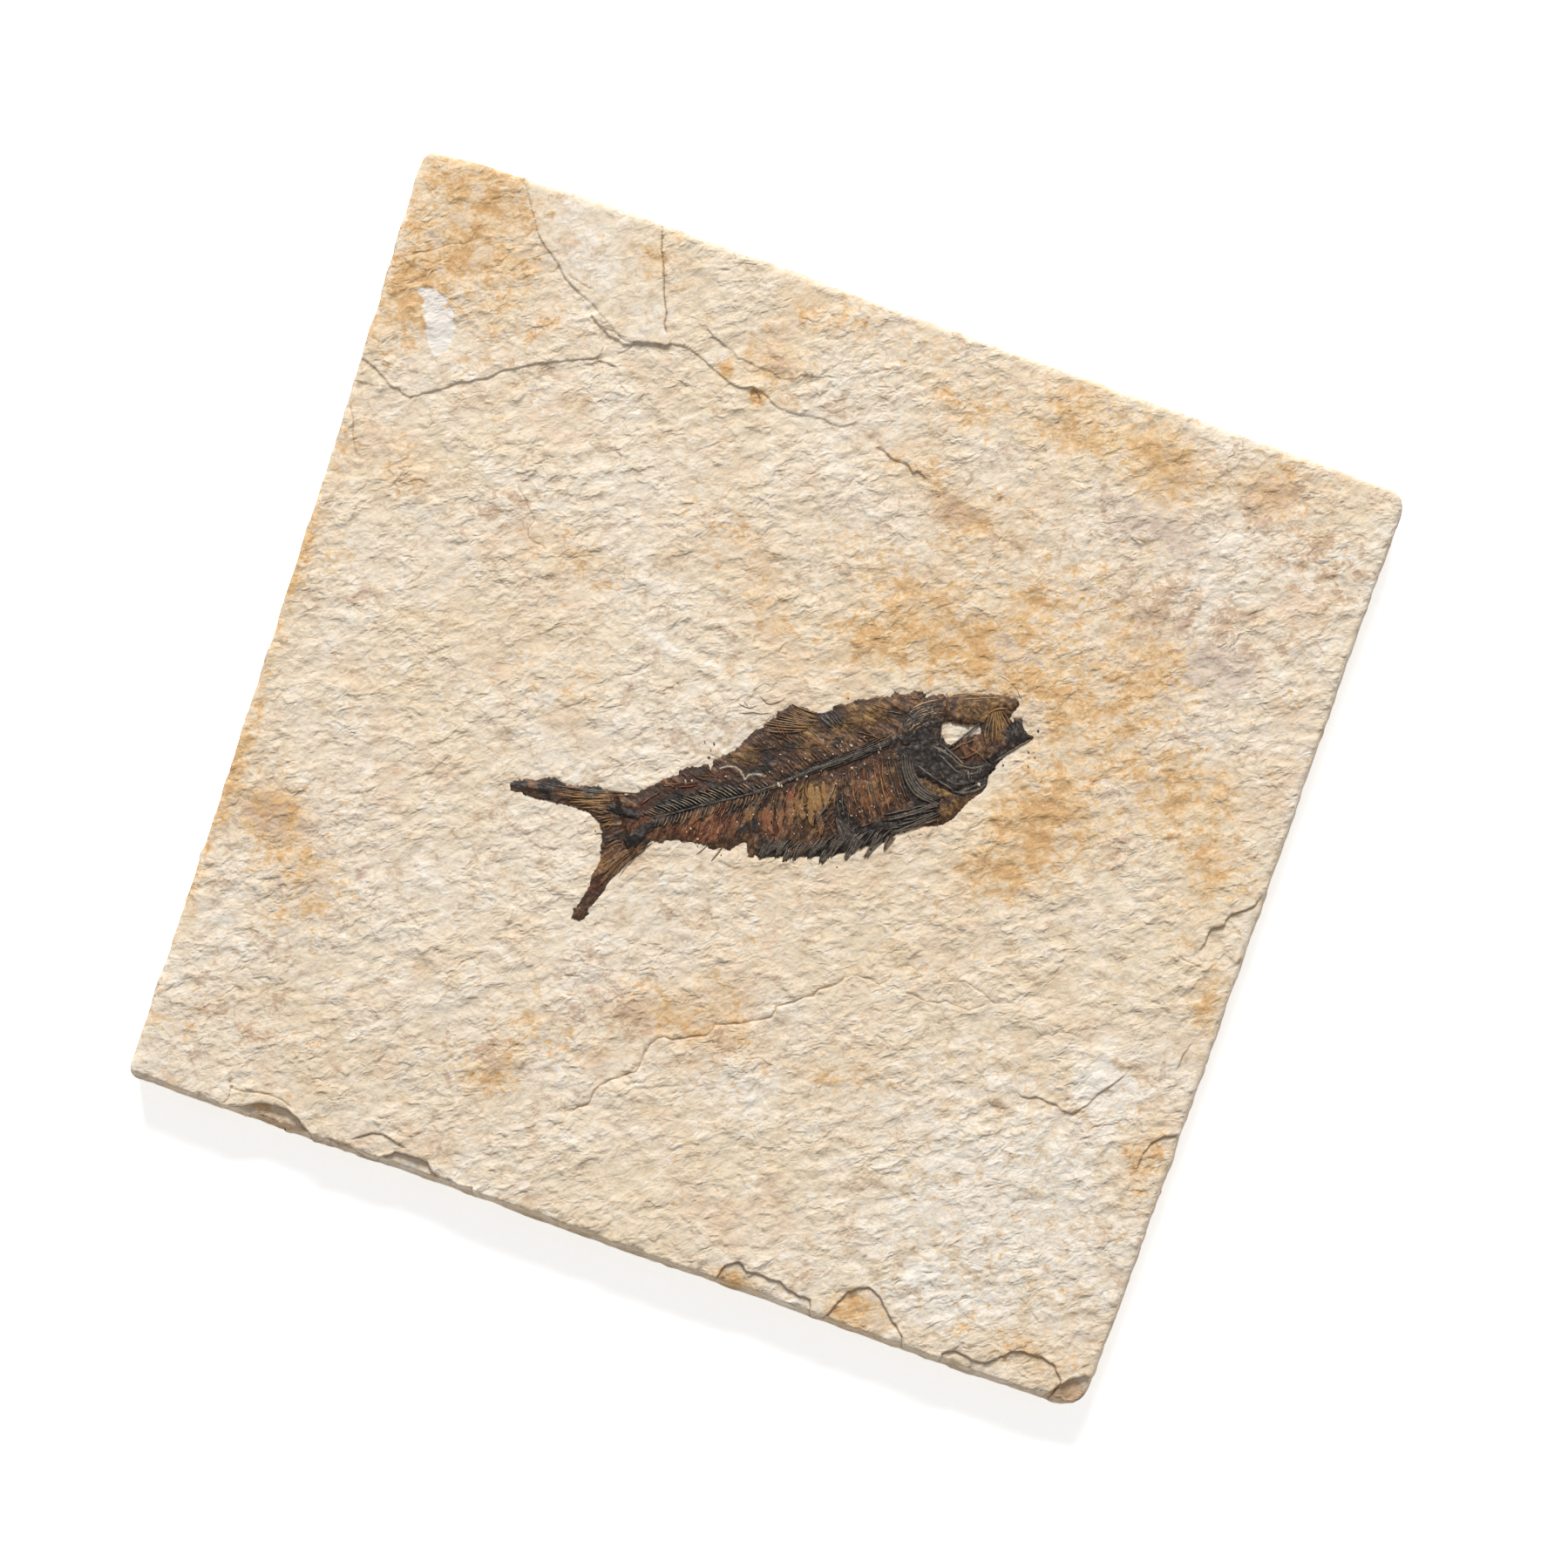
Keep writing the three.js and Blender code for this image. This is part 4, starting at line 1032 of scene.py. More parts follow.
def build_skin(settings):
    """The body's flattened sheet of fossil, with its fibres, flakes and open eye."""
    mesh = sheet(FISH_OUTLINE, settings.skin_cell / MM, 0.25, 91.0, gap=EYE_GAP)
    places = coordinates(mesh)
    points, top = places[:, :2], places[:, 2] > 0.5
    x, y = points.T
    depth = signed_depth(points, FISH_OUTLINE)
    course = fibre_course(points)
    gate = smooth(0.5 + 1.4 * perlin(x, y, 1.8, 72.0))
    fibres = np.abs(perlin(course, 0.12 * x + 0.5 * y, 0.32, 73.0)) * 1.6
    bent = course + 0.3 * perlin(x, y, 1.0, 74.0)
    edge, level = flakes(bent, 0.6 * y, 0.7, 75.0)
    broad_edge, broad_level = flakes(bent * 0.9, 0.5 * y + 3.0, 1.5, 78.0)
    relief = 0.11 * (level - 0.5) - 0.06 * (1 - edge) + 0.13 * (broad_level - 0.5) - 0.05 * (1 - broad_edge)
    relief += 0.11 * gate * (fibres - 0.4) + 0.04 * perlin(x, y, 0.45, 76.0) + 0.03 * perlin(x, y, 0.2, 77.0)
    body = smooth(depth / 0.8)
    crease = np.zeros(len(points))
    for line in BODY_CREASES:
        line = np.array(line)
        near = near_box(points, line, 1.0)
        crease[near] = np.maximum(crease[near], np.exp(-((nearest(points[near], line)[0] / 0.09) ** 2)))
    height = ground(points) + relief * (0.35 + 0.65 * body) * settings.bone_relief - 0.16 * crease
    z = np.where(top, height, BED - SKIN_FOOT)
    paint_fossil(mesh, points, np.clip(0.5 + relief / 0.3, 0, 1))
    paint(mesh, chalk=crease)
    place_vertices(mesh, np.column_stack((to_slab(points), z)) * MM)
    return mesh


def build_plate(outline, rise, tone, seed, settings):
    """One broad bone: a thin sheet on the skin, wrinkled and chipped at its edge."""
    outline = np.array(outline)
    mesh = sheet(outline, settings.plate_cell / MM, 0.14, seed)
    places = coordinates(mesh)
    points, top = places[:, :2], places[:, 2] > 0.5
    x, y = points.T
    depth = signed_depth(points, outline)
    wrinkles = np.abs(perlin(x + 0.3 * y, y, 0.8, seed + 1)) * 1.5 - 0.4
    edge, level = flakes(x, y + 0.2 * perlin(x, y, 0.6, seed), 1.0, seed + 2)
    relief = 0.16 * wrinkles + 0.08 * (level - 0.5) - 0.06 * (1 - edge) + 0.07 * perlin(x, y, 0.3, seed + 3)
    low = ground(points)
    height = low + rise * (0.4 + 0.6 * smooth(depth / 0.5)) + relief * settings.bone_relief
    z = np.where(top, height, low - 0.25)
    shade = np.tile(tone, (len(points), 1))
    paint_fossil(mesh, points, np.clip(0.5 + relief / 0.3, 0, 1), lift=0.3, shade=shade)
    place_vertices(mesh, np.column_stack((to_slab(points), z)) * MM)
    return mesh


# ---------------- strands
def rounded(path):
    """A path with its corners cut off."""
    path = np.array(path, float)
    for _ in range(3):
        early = path[:-1] * 0.75 + path[1:] * 0.25
        late = path[:-1] * 0.25 + path[1:] * 0.75
        cut = np.stack((early, late), axis=1).reshape(-1, 2)
        path = np.vstack((path[:1], cut, path[-1:]))
    return path


def points_along(path, shares):
    """Places on a path, and the direction across it, at shares of its length."""
    steps = np.hypot(*np.diff(path, axis=0).T)
    run = np.concatenate(((0,), np.cumsum(steps)))
    at = shares * run[-1]
    place = np.stack((np.interp(at, run, path[:, 0]), np.interp(at, run, path[:, 1])), axis=1)
    ahead = np.minimum(at + 0.02, run[-1])
    behind = np.maximum(at - 0.02, 0)
    step = np.stack([np.interp(ahead, run, axis) - np.interp(behind, run, axis) for axis in path.T], axis=1)
    step /= np.maximum(np.hypot(*step.T), 1e-9)[:, None]
    return place, np.stack((-step[:, 1], step[:, 0]), axis=1), run[-1]


def strand_template(rows, sides):
    """A rod of unit length along Z, cut into rows."""
    bm = bmesh.new()
    bmesh.ops.create_cone(bm, cap_ends=True, segments=sides, radius1=1, radius2=1, depth=1)
    upright = [edge for edge in bm.edges if abs(edge.verts[0].co.z - edge.verts[1].co.z) > 0.5]
    bmesh.ops.subdivide_edges(bm, edges=upright, cuts=rows - 1)
    return as_mesh(bm, "strand")


def ripple(run, lane, size, seed):
    """Noise along one bone, in a lane of its own."""
    return perlin(run, np.full(len(run), lane), size, seed)


def lay_strands(bones, seed, rows=6, sides=6, blunt=0.35, wobble=0.06, pinch=0.0, buried=0.22, lift=0.7):
    """Many rods laid along their paths, sunk here and there; a bone is (path, width, height, tone)."""
    mesh = copies(strand_template(rows, sides), len(bones), "strands")
    rods = coordinates(mesh).reshape(len(bones), -1, 3)
    plan = np.empty((len(bones), rods.shape[1], 2))
    rise = np.empty(rods.shape[:2])
    shade = np.empty((len(bones), rods.shape[1], 3))
    for index, (path, width, height, tone) in enumerate(bones):
        share = rods[index, :, 2] + 0.5
        centre, across, length_mm = points_along(rounded(path), share)
        taper = blunt + (1 - blunt) * np.clip(np.sin(np.pi * np.clip(share, 0.02, 0.98)) * 1.8, 0, 1)
        taper = taper * (1 - pinch * np.sin(np.pi * share))
        run = share * length_mm
        sway = wobble * ripple(run, index * 3.1, 1.3, seed)
        swell = 1 + 0.35 * ripple(run, index * 5.3, 0.7, seed + 1)
        plan[index] = centre + across * (rods[index, :, 0] * width / 2 * taper * swell + sway)[:, None]
        dip = np.maximum(0, ripple(run, index * 1.7, 1.7, seed + 2) + 0.1)
        rise[index] = rods[index, :, 1] * height * taper * (0.6 + 0.4 * swell) - buried * dip
        shade[index] = tone
    flat = plan.reshape(-1, 2)
    z = ground(flat) + rise.ravel()
    # relief follows each rod's rise: painted shade on its low sides, painted highlight on its top
    paint_fossil(mesh, flat, np.clip(0.55 + rise.ravel() * 1.6, 0, 1), lift, shade.reshape(-1, 3))
    place_vertices(mesh, np.column_stack((to_slab(flat), z)) * MM)
    return mesh


def spread(starts, ends, count, width, height, bow=0.0, tone=(0, 0, 0), seed=1, jitter=0.12,
           trim=0.16):
    """Bones spaced evenly from one line to another, bowed to their left by a share of their length."""
    rng = np.random.default_rng(seed)
    shares = (np.arange(count) + 0.5 + rng.uniform(-0.2, 0.2, count)) / count
    first = points_along(np.array(starts, float), shares)[0]
    last = points_along(np.array(ends, float), shares)[0]
    bones = []
    for start, end in zip(first, last):
        start = start + rng.normal(0, jitter * 0.5, 2)
        end = end + rng.normal(0, jitter, 2)
        step = end - start
        start = start + step * rng.uniform(0, trim) ** 1.5
        end = end - step * rng.uniform(0, trim)
        middle = (start + end) / 2 + np.array((-step[1], step[0])) * (bow + rng.normal(0, 0.015))
        size = rng.uniform(0.75, 1.25)
        mood = np.array(tone) + (rng.uniform(-0.5, 0.5), rng.uniform(-0.3, 0.35), rng.uniform(-0.2, 0.3))
        bones.append(((start, middle, end), width * size, height * rng.uniform(0.7, 1.25), mood))
    return bones


def listed(bones, tone=(0, 0, 0)):
    """Bones with their own width and height, all shifted by one tone."""
    return [(path, width, height, tone) for path, width, height in bones]


def axis_at(x):
    """The backbone's height at a place along the fish."""
    return along_table(BACKBONE, x)


def backbone_bones():
    """The drums of the backbone, and the long fibres that lie over them."""
    drums = []
    edges = np.linspace(-21.0, 18.0, 47)
    for near_tail, near_head in zip(edges[:-1], edges[1:]):
        size = np.interp(near_tail, (-21, -10, 5, 18), (0.32, 0.42, 0.85, 0.95))
        ends = [(near_tail + 0.04, axis_at(near_tail) - 0.05), (near_head - 0.04, axis_at(near_head) - 0.05)]
        drums.append((ends, size, 0.19, (0.6, -0.4, -0.2)))
    fibres = []
    for offset, start, end, width in (
        (-0.45, 1.5, 17.5, 0.26), (-0.18, 0, 18, 0.24), (0.10, 2, 17.8, 0.26), (0.36, 5, 17.5, 0.22),
        (0.62, 10.5, 17.5, 0.2), (0.85, 11.5, 17, 0.18), (1.1, 12.5, 16.6, 0.16), (-0.05, -6, -1, 0.2),
        (-0.32, -5.5, -0.5, 0.2), (-0.7, 6, 14, 0.16),
    ):
        stations = np.linspace(start, end, 9)
        fibres.append(([(x, axis_at(x) + offset) for x in stations], width * 0.7, 0.22, (0.7, -0.4, -0.3)))
    return drums, fibres


def spine_bones(seed):
    """The spines above and below the backbone, slanting back towards the tail."""
    rng = np.random.default_rng(seed)
    above, below = [], []
    for x in np.arange(-20.2, -2.6, 0.58):
        lean = np.interp(x, (-20, -16, -9, -7, -4), (1.2, 1.9, 2.2, 1.5, 0.8))
        top = np.interp(x, (-20, -16, -9, -7, -4), (1.1, 1.7, 2.1, 1.9, 1.2))
        root = np.array((x + rng.normal(0, 0.06), axis_at(x) + 0.15))
        tip = root + np.array((-lean, top)) * rng.uniform(0.7, 1.15)
        bend = (root + tip) / 2 + np.array((0.1, 0.22)) * lean * 0.4
        above.append(((root, bend, tip), 0.2, 0.28, (rng.uniform(0.1, 0.8), -0.6, -0.5)))
        drop = np.interp(x, (-20, -15, -8, -4), (1.0, 1.7, 1.8, 1.2)) * rng.uniform(0.6, 1.2)
        foot = np.array((x + rng.normal(0, 0.06), axis_at(x) - 0.25))
        heel = foot + np.array((-0.85 * drop, -drop))
        below.append((
            (foot, (foot + heel) / 2 + (0.12, -0.12), heel), 0.19, 0.24,
            (rng.uniform(0.0, 0.7), -0.5, -0.5),
        ))
    for x in np.arange(-2.0, 13.5, 0.62):
        root = np.array((x + rng.normal(0, 0.08), axis_at(x) + 0.6))
        tip = root + np.array((-0.9, 2.1)) * rng.uniform(0.5, 1.1)
        bend = (root + tip) / 2 + (0.08, 0.05)
        above.append(((root, bend, tip), 0.16, 0.13, (rng.uniform(-0.3, 0.4), 0.1, 0)))
    return above, below


def rib_bones():
    """The ribs of the chest, and the fainter slanting ones behind them."""
    chest = spread(
        ((7.2, -2.2), (9.8, -1.8), (13.4, -1.6), (16.6, -1.8)),
        ((5.2, -9.6), (8.4, -10.0), (12.8, -10.4), (16.6, -10.2)), 17, 0.23, 0.22, bow=-0.035,
        tone=(0.8, -0.4, 0.1), seed=3, jitter=0.2, trim=0.15,
    )
    chest += spread(
        ((2.4, -2.2), (7.6, -2.6)), ((0.6, -8.6), (6.0, -8.4)), 8, 0.2, 0.16, bow=-0.04,
        tone=(0.1, 0.3, 0.1), seed=6, jitter=0.5, trim=0.6,
    )
    slats = spread(
        ((-4.6, -2.6), (5.4, -2.2)), ((-6.2, -9.0), (3.8, -10.8)), 13, 0.95, 0.09, bow=-0.03,
        tone=(-0.25, 0.15, 0.2), seed=8, jitter=0.5, trim=0.5,
    )
    rear = spread(
        ((-7.5, -2.2), (3.6, -1.8)), ((-10.0, -6.6), (0.6, -9.6)), 15, 0.2, 0.12, bow=-0.03,
        tone=(-0.05, 0.2, 0.1), seed=4, jitter=0.6, trim=0.5,
    )
    far_rear = spread(
        ((-17, -2.4), (-7.5, -2.6)), ((-18.2, -4.0), (-10.4, -7.2)), 11, 0.17, 0.09, bow=-0.03,
        tone=(0, 0, 0.25), seed=5, jitter=0.5, trim=0.5,
    )
    spear = [(((7.0, -3.0), (5.2, -5.2), (3.6, -6.9), (1.8, -8.3)), 0.42, 0.3, (0.7, -0.3, 0))]
    return chest, slats, rear + far_rear + spear


def flesh_bones(seed):
    """Fine loose bones scattered along the flanks."""
    rng = np.random.default_rng(seed)
    bones = []
    for low, high, lean, count in (
        ((8, 1.4), (17.5, 6.2), (1.5, -1.7), 24), ((-6, 2.4), (8, 6.6), (-1.2, 1.5), 22),
        ((-20, 2.4), (-6, 4.6), (-2.2, 1.2), 22), ((-15, -6.2), (-3, -2.6), (-1.4, -1.2), 22),
        ((-2, -11.2), (9, -5), (1.3, 1.5), 34), ((-20, -3.4), (-12, -1.4), (-1.2, -0.8), 10),
    ):
        for _ in range(count):
            start = rng.uniform(low, high)
            turn = rng.normal(0, 0.5)
            reach = np.array(lean) * rng.uniform(0.5, 1.1)
            step = np.array((reach[0] - reach[1] * turn, reach[1] + reach[0] * turn))
            mood = (rng.uniform(-0.5, 0.6), rng.uniform(-0.1, 0.5), rng.uniform(-0.1, 0.3))
            bones.append(((start, start + step * 0.5 + rng.normal(0, 0.1, 2), start + step),
                          rng.uniform(0.1, 0.2), rng.uniform(0.07, 0.15), mood))
    centres = np.array([bone[0][2] for bone in bones])
    starts = np.array([bone[0][0] for bone in bones])
    held = (signed_depth(centres, FISH_OUTLINE) > 0.15) & (signed_depth(starts, FISH_OUTLINE) > 0.15)
    return [bone for bone, keep in zip(bones, held) if keep]


def fin_bones():
    """The rays of the back fin, the breast fin and the two lobes of the tail."""
    back = spread(
        ((7.5, 6.7), (7.2, 5.8), (6.4, 5.4), (4.6, 5.2)), ((4.2, 9.3), (2.1, 9.0), (0.5, 8.3), (-2.0, 7.7)),
        16, 0.22, 0.24, bow=0.03, tone=(0.1, 0.2, 0.1), seed=11, jitter=0.3,
    )
    back += spread(
        ((10.5, 4.4), (9.6, 3.6), (8.2, 4.6)), ((9.8, 6.8), (8.2, 6.7), (6.6, 6.4)), 8, 0.24, 0.2,
        tone=(0.5, -0.2, 0), seed=12,
    )
    breast = spread(
        ((20.4, -10.6), (19.2, -13.0)), ((10.8, -10.2), (12.0, -12.9)), 11, 0.27, 0.26, bow=0.03,
        tone=(0.5, -0.2, 0), seed=13, jitter=0.5, trim=0.1,
    )
    breast += spread(
        ((20.0, -10.4), (18.9, -12.9)), ((13.5, -10.6), (14.5, -12.8)), 8, 0.15, 0.32,
        tone=(0.3, 0, 0), seed=14, jitter=0.4,
    )
    upper = spread(
        ((-22.2, 4.1), (-24.8, 4.0), (-26.0, 2.2), (-26.0, 0.5)),
        ((-33.2, 9.1), (-33.0, 8.5), (-32.6, 7.6), (-31.8, 6.4), (-30.8, 5.3), (-29, 3.8), (-27.9, 1.75),
         (-27.7, 0.2)), 30, 0.2, 0.15, bow=0.02, tone=(0.05, 0.1, 0.1), seed=15, jitter=0.3, trim=0.35,
    )
    upper += spread(
        ((-21.2, 3.95), (-24.4, 4.9)), ((-34.7, 9.9), (-32.2, 9.0)), 6, 0.24, 0.2, bow=0.012,
        tone=(0.45, -0.1, 0), seed=16,
    )
    lower = spread(
        ((-22, -3.3), (-25.1, -3.4), (-25.2, -1.9), (-25.6, -0.9)),
        ((-30.6, -7.8), (-31.4, -7.6), (-31.6, -6.9), (-31.2, -6.0), (-30.4, -5.1), (-29.5, -4.2),
         (-29.1, -2.9), (-28.3, -1.2)), 26, 0.2, 0.15, bow=-0.03, tone=(0.1, 0, 0.2), seed=17, jitter=0.3,
        trim=0.35,
    )
    lower += spread(
        ((-20.6, -3.5), (-22.6, -3.5)), ((-30.4, -7.4), (-29.8, -6.9)), 4, 0.22, 0.18, bow=-0.02,
        tone=(0.3, 0, 0.2), seed=18,
    )
    return back, breast, upper, lower


SCUTES = (
    (-5.2, -11.3), (-4.4, -12.2), (-2.8, -12.5), (-0.8, -12.9), (0.7, -14.2), (2.2, -13.9), (4.3, -14.8),
    (5.6, -14.3), (7.4, -15.2), (8.6, -14.5), (10.2, -15.1), (-7.5, -10.7),
)


def belly_bones():
    """The keel's spiked scutes, each a small fan of strands, and the fan of rays above them."""
    bones = []
    rng = np.random.default_rng(47)
    for number, tip in enumerate(SCUTES):
        lean = rng.uniform(0.5, 0.85)
        reach = np.array((math.cos(lean), math.sin(lean)))
        across = np.array((-reach[1], reach[0]))
        root = np.array(tip) + reach * rng.uniform(2.6, 4.0)
        bones += spread(
            (root - across * 0.75, root + across * 0.75), (tip - across * 0.16, tip + across * 0.16),
            6, 0.24, 0.26, bow=-0.04, tone=(0.8, -0.4, -0.2), seed=30 + number, jitter=0.14,
        )
    bones += spread(
        ((5.0, -8.3), (5.4, -8.4)), ((4.5, -13.3), (8.0, -13.3)), 7, 0.26, 0.2, tone=(0.4, -0.1, 0), seed=45,
    )
    bones += spread(
        ((-4.6, -8.6), (0, -10.0), (6, -11.0), (13.5, -12.2)),
        ((-7.6, -10.0), (-3, -11.5), (3, -12.9), (10.5, -13.9)),
        34, 0.24, 0.22, bow=-0.04, tone=(0.7, -0.4, 0), seed=46, jitter=0.3,
    )
    return bones


def skull_bones():
    """The wrinkles of the hump behind the eye."""
    bones = spread(
        ((18.2, 1.5), (18.4, -1.0)), ((25.3, 2.8), (24.5, -0.2)), 9, 0.22, 0.2, bow=0.16,
        tone=(-0.2, -0.3, -0.4), seed=51, jitter=0.15,
    )
    bones += spread(
        ((20.2, 3.6), (19.0, 2.2)), ((25.6, 3.4), (25.2, 1.8)), 5, 0.26, 0.22, bow=0.07,
        tone=(0.1, 0.1, 0), seed=52,
    )
    bones += spread(
        ((19.2, 5.8), (22.5, 4.6)), ((21.0, 4.6), (23.2, 4.2)), 5, 0.2, 0.16, tone=(0.2, 0.1, 0), seed=53,
    )
    bones += spread(
        ((26.0, 2.2), (33.2, 0.9)), ((26.8, -0.6), (33.6, -0.4)), 12, 0.18, 0.14, tone=(0, 0.3, 0.1),
        seed=54, jitter=0.3,
    )
    return bones


def throat_bones():
    """The fanned plates of the throat, and the fibres of the gill cover."""
    bones = spread(
        ((22.0, -7.6), (28.8, -7.8)), ((21.8, -9.6), (28.2, -8.9)), 13, 0.3, 0.18, bow=0.05,
        tone=(0.2, 0, 0), seed=61, jitter=0.15,
    )
    bones += spread(
        ((21.2, -6.0), (22.8, -6.0)), ((21.0, -8.4), (22.7, -8.2)), 6, 0.14, 0.12,
        tone=(-0.6, 0.3, 0), seed=62,
    )
    bones += spread(
        ((18.6, -2.4), (21.6, -2.0)), ((19.8, -5.2), (23.8, -5.8)), 5, 0.2, 0.08, bow=0.06,
        tone=(0.4, -0.2, 0), seed=63, jitter=0.3,
    )
    return bones


FILAMENTS = (
    (((-3.2, 11.9), (-2.5, 11), (-1.6, 10.7), (-0.5, 10.7)), 0.13, 0.16),
    (((-2, 11), (-2.2, 11.5), (-2.3, 11.9)), 0.12, 0.16),
    (((0, 12), (0.4, 11.1), (0.8, 10.4), (1.8, 10.2), (3, 10.2)), 0.13, 0.16),
    (((-3.5, 10.5), (-1.5, 9.8), (1, 9)), 0.12, 0.16),
    (((32.5, 4.7), (34, 3.9), (35, 3), (35.7, 1.8), (36, 0.5), (36.3, -0.8), (36.4, -2)), 0.09, 0.04),
    (((14, -13.3), (14.3, -13.9), (14.5, -14.5), (14.7, -16)), 0.09, 0.04),
)
FLECKS = (
    (-9.7, 5.7, 0.25), (-9.1, 6.6, 0.16), (-8.4, 7.3, 0.2), (-9.6, 8, 0.14), (37, -5.4, 0.2),
    (34.7, -7.9, 0.22), (35.3, -8.9, 0.16), (34, -9.9, 0.16), (-28.7, 0.6, 0.14), (12.2, 7.6, 0.12),
    (-24, 4.9, 0.14), (30.6, -8.6, 0.18), (3.1, -15.2, 0.14), (-12.4, -8.4, 0.14),
)

LENS_BONES = ((26.3, 0.35, 0.85), (31.5, 0.75, 0.55), (28.8, 0.6, 0.5), (21.9, 0.4, 0.5))


def scattered_crumbs():
    """Fine crumbs of pale stone left between the ribs and along the backbone."""
    rng = np.random.default_rng(90)
    crumbs = []
    for low, high, count in (
        ((6, -9.4), (15.5, -2.2), 46), ((-6, -9.6), (5, -2.4), 30), ((-2, 0.4), (13, 1.9), 22),
    ):
        for x, y in rng.uniform(low, high, (count, 2)):
            crumbs.append((x, y, rng.uniform(0.05, 0.12)))
    return tuple(crumbs)


def build_grains(spots, seed, sink):
    """Small broken lumps, each a faceted ball squashed a little into the surface."""
    bm = bmesh.new()
    bmesh.ops.create_icosphere(bm, subdivisions=2, radius=1)
    mesh = copies(as_mesh(bm, "grain"), len(spots), "grains")
    balls = coordinates(mesh).reshape(len(spots), -1, 3)
    rng = np.random.default_rng(seed)
    centres = np.array([spot[:2] for spot in spots])
    heights = ground(centres)
    for index, (x, y, radius) in enumerate(spots):
        ball = balls[index]
        lumps = perlin(ball[:, 0] + index * 2.7, ball[:, 1] + ball[:, 2], 0.8, seed)
        ball = ball * (1 + 0.45 * lumps)[:, None]
        stretch = rng.uniform(0.55, 1.15)
        balls[index] = ball * radius * np.array((stretch, 1 / stretch, 0.6))
        balls[index] += (x, y, heights[index] + radius * sink)
    flat = balls.reshape(-1, 3)
    points = flat[:, :2].copy()
    shade = np.tile((0.6, 0, 0), (len(points), 1))
    paint_fossil(mesh, points, np.full(len(points), 0.6), lift=0.5, shade=shade)
    place_vertices(mesh, np.column_stack((to_slab(points), flat[:, 2])) * MM)
    return mesh


# ---------------- node helpers
class Finish:
    """A material's node tree, built up by short calls."""

    def __init__(self, name):
        self.material = bpy.data.materials.new(name)
        self.material.use_nodes = True
        self.tree = self.material.node_tree
        self.tree.nodes.clear()
        output = self.node("ShaderNodeOutputMaterial")
        self.shader = self.node("ShaderNodeBsdfPrincipled")
        self.tree.links.new(self.shader.outputs["BSDF"], output.inputs["Surface"])
        place = self.node("ShaderNodeTexCoord")
        scale = self.node("ShaderNodeMapping", Vector=place.outputs["Object"], Scale=(1 / MM,) * 3)
        self.place = scale.outputs["Vector"]

    def node(self, kind, settings=None, **sockets):
        """Adds a node; sockets are given by name or number, as a value or as another node's output."""
        made = self.tree.nodes.new(kind)
        for key, value in (settings or {}).items():
            setattr(made, key, value)
        for key, value in sockets.items():
            self.feed(made.inputs[key.replace("_", " ")], value)
        return made

    def feed(self, socket, value):
        """Links a socket to an output, or sets its value."""
        if isinstance(value, bpy.types.NodeSocket):
            self.tree.links.new(value, socket)
        elif socket.type == "RGBA" and len(value) == 3:
            socket.default_value = (*value, 1.0)
        else:
            socket.default_value = value

    def number(self, name):
        """The painted number of that name."""
        return self.node("ShaderNodeAttribute", {"attribute_name": name}).outputs["Fac"]

    def math(self, operation, *values):
        """One step of arithmetic."""
        made = self.node("ShaderNodeMath", {"operation": operation})
        for socket, value in zip(made.inputs, values):
            self.feed(socket, value)
        return made.outputs[0]

    def swing(self, value, amount, base=0.0):
        """The base plus a value's swing about 0.5, times the amount."""
        return self.math("MULTIPLY_ADD", self.math("SUBTRACT", value, 0.5), amount, base)

    def mix(self, share, first, second, blend="MIX"):
        """One colour laid over another."""
        made = self.node("ShaderNodeMix", {"data_type": "RGBA", "blend_type": blend})
        self.feed(made.inputs[0], share)
        self.feed(made.inputs[6], first)
        self.feed(made.inputs[7], second)
        return made.outputs[2]

    def stretch(self, degrees, scale):
        """The place turned about Z and then scaled."""
        turn = self.node("ShaderNodeMapping", Vector=self.place)
        turn.inputs["Rotation"].default_value = (0, 0, math.radians(degrees))
        size = self.node("ShaderNodeMapping", Vector=turn.outputs["Vector"], Scale=scale)
        return size.outputs["Vector"]

    def noise(self, size, detail=3.0, rough=0.5, bend=0.0, place=None):
        """Noise whose bumps are about that many millimetres across, 0 to 1."""
        made = self.node(
            "ShaderNodeTexNoise", Vector=place or self.place,
            Scale=1.0 / size, Detail=detail, Roughness=rough, Distortion=bend,
        )
        return made.outputs["Fac"]

    def ridged(self, size, detail, place):
        """Noise with sharp valleys, from 0 up."""
        return self.math("ABSOLUTE", self.math("SUBTRACT", self.noise(size, detail, place=place), 0.5))

    def band(self, value, low, high, to_low=0.0, to_high=1.0):
        """The value from low to high as a share from to_low to to_high."""
        made = self.node("ShaderNodeMapRange", {"interpolation_type": "SMOOTHSTEP", "clamp": True})
        for socket, given in zip(made.inputs[:5], (value, low, high, to_low, to_high)):
            self.feed(socket, given)
        return made.outputs[0]

    def bump(self, height, depth):
        """A surface that stands up by depth millimetres where the height is 1."""
        return self.node("ShaderNodeBump", Height=height, Distance=depth * MM).outputs["Normal"]

    def surface(self, **inputs):
        """Sets the shader's inputs, and returns the material."""
        for name, value in inputs.items():
            self.feed(self.shader.inputs[name.replace("_", " ")], value)
        return self.material


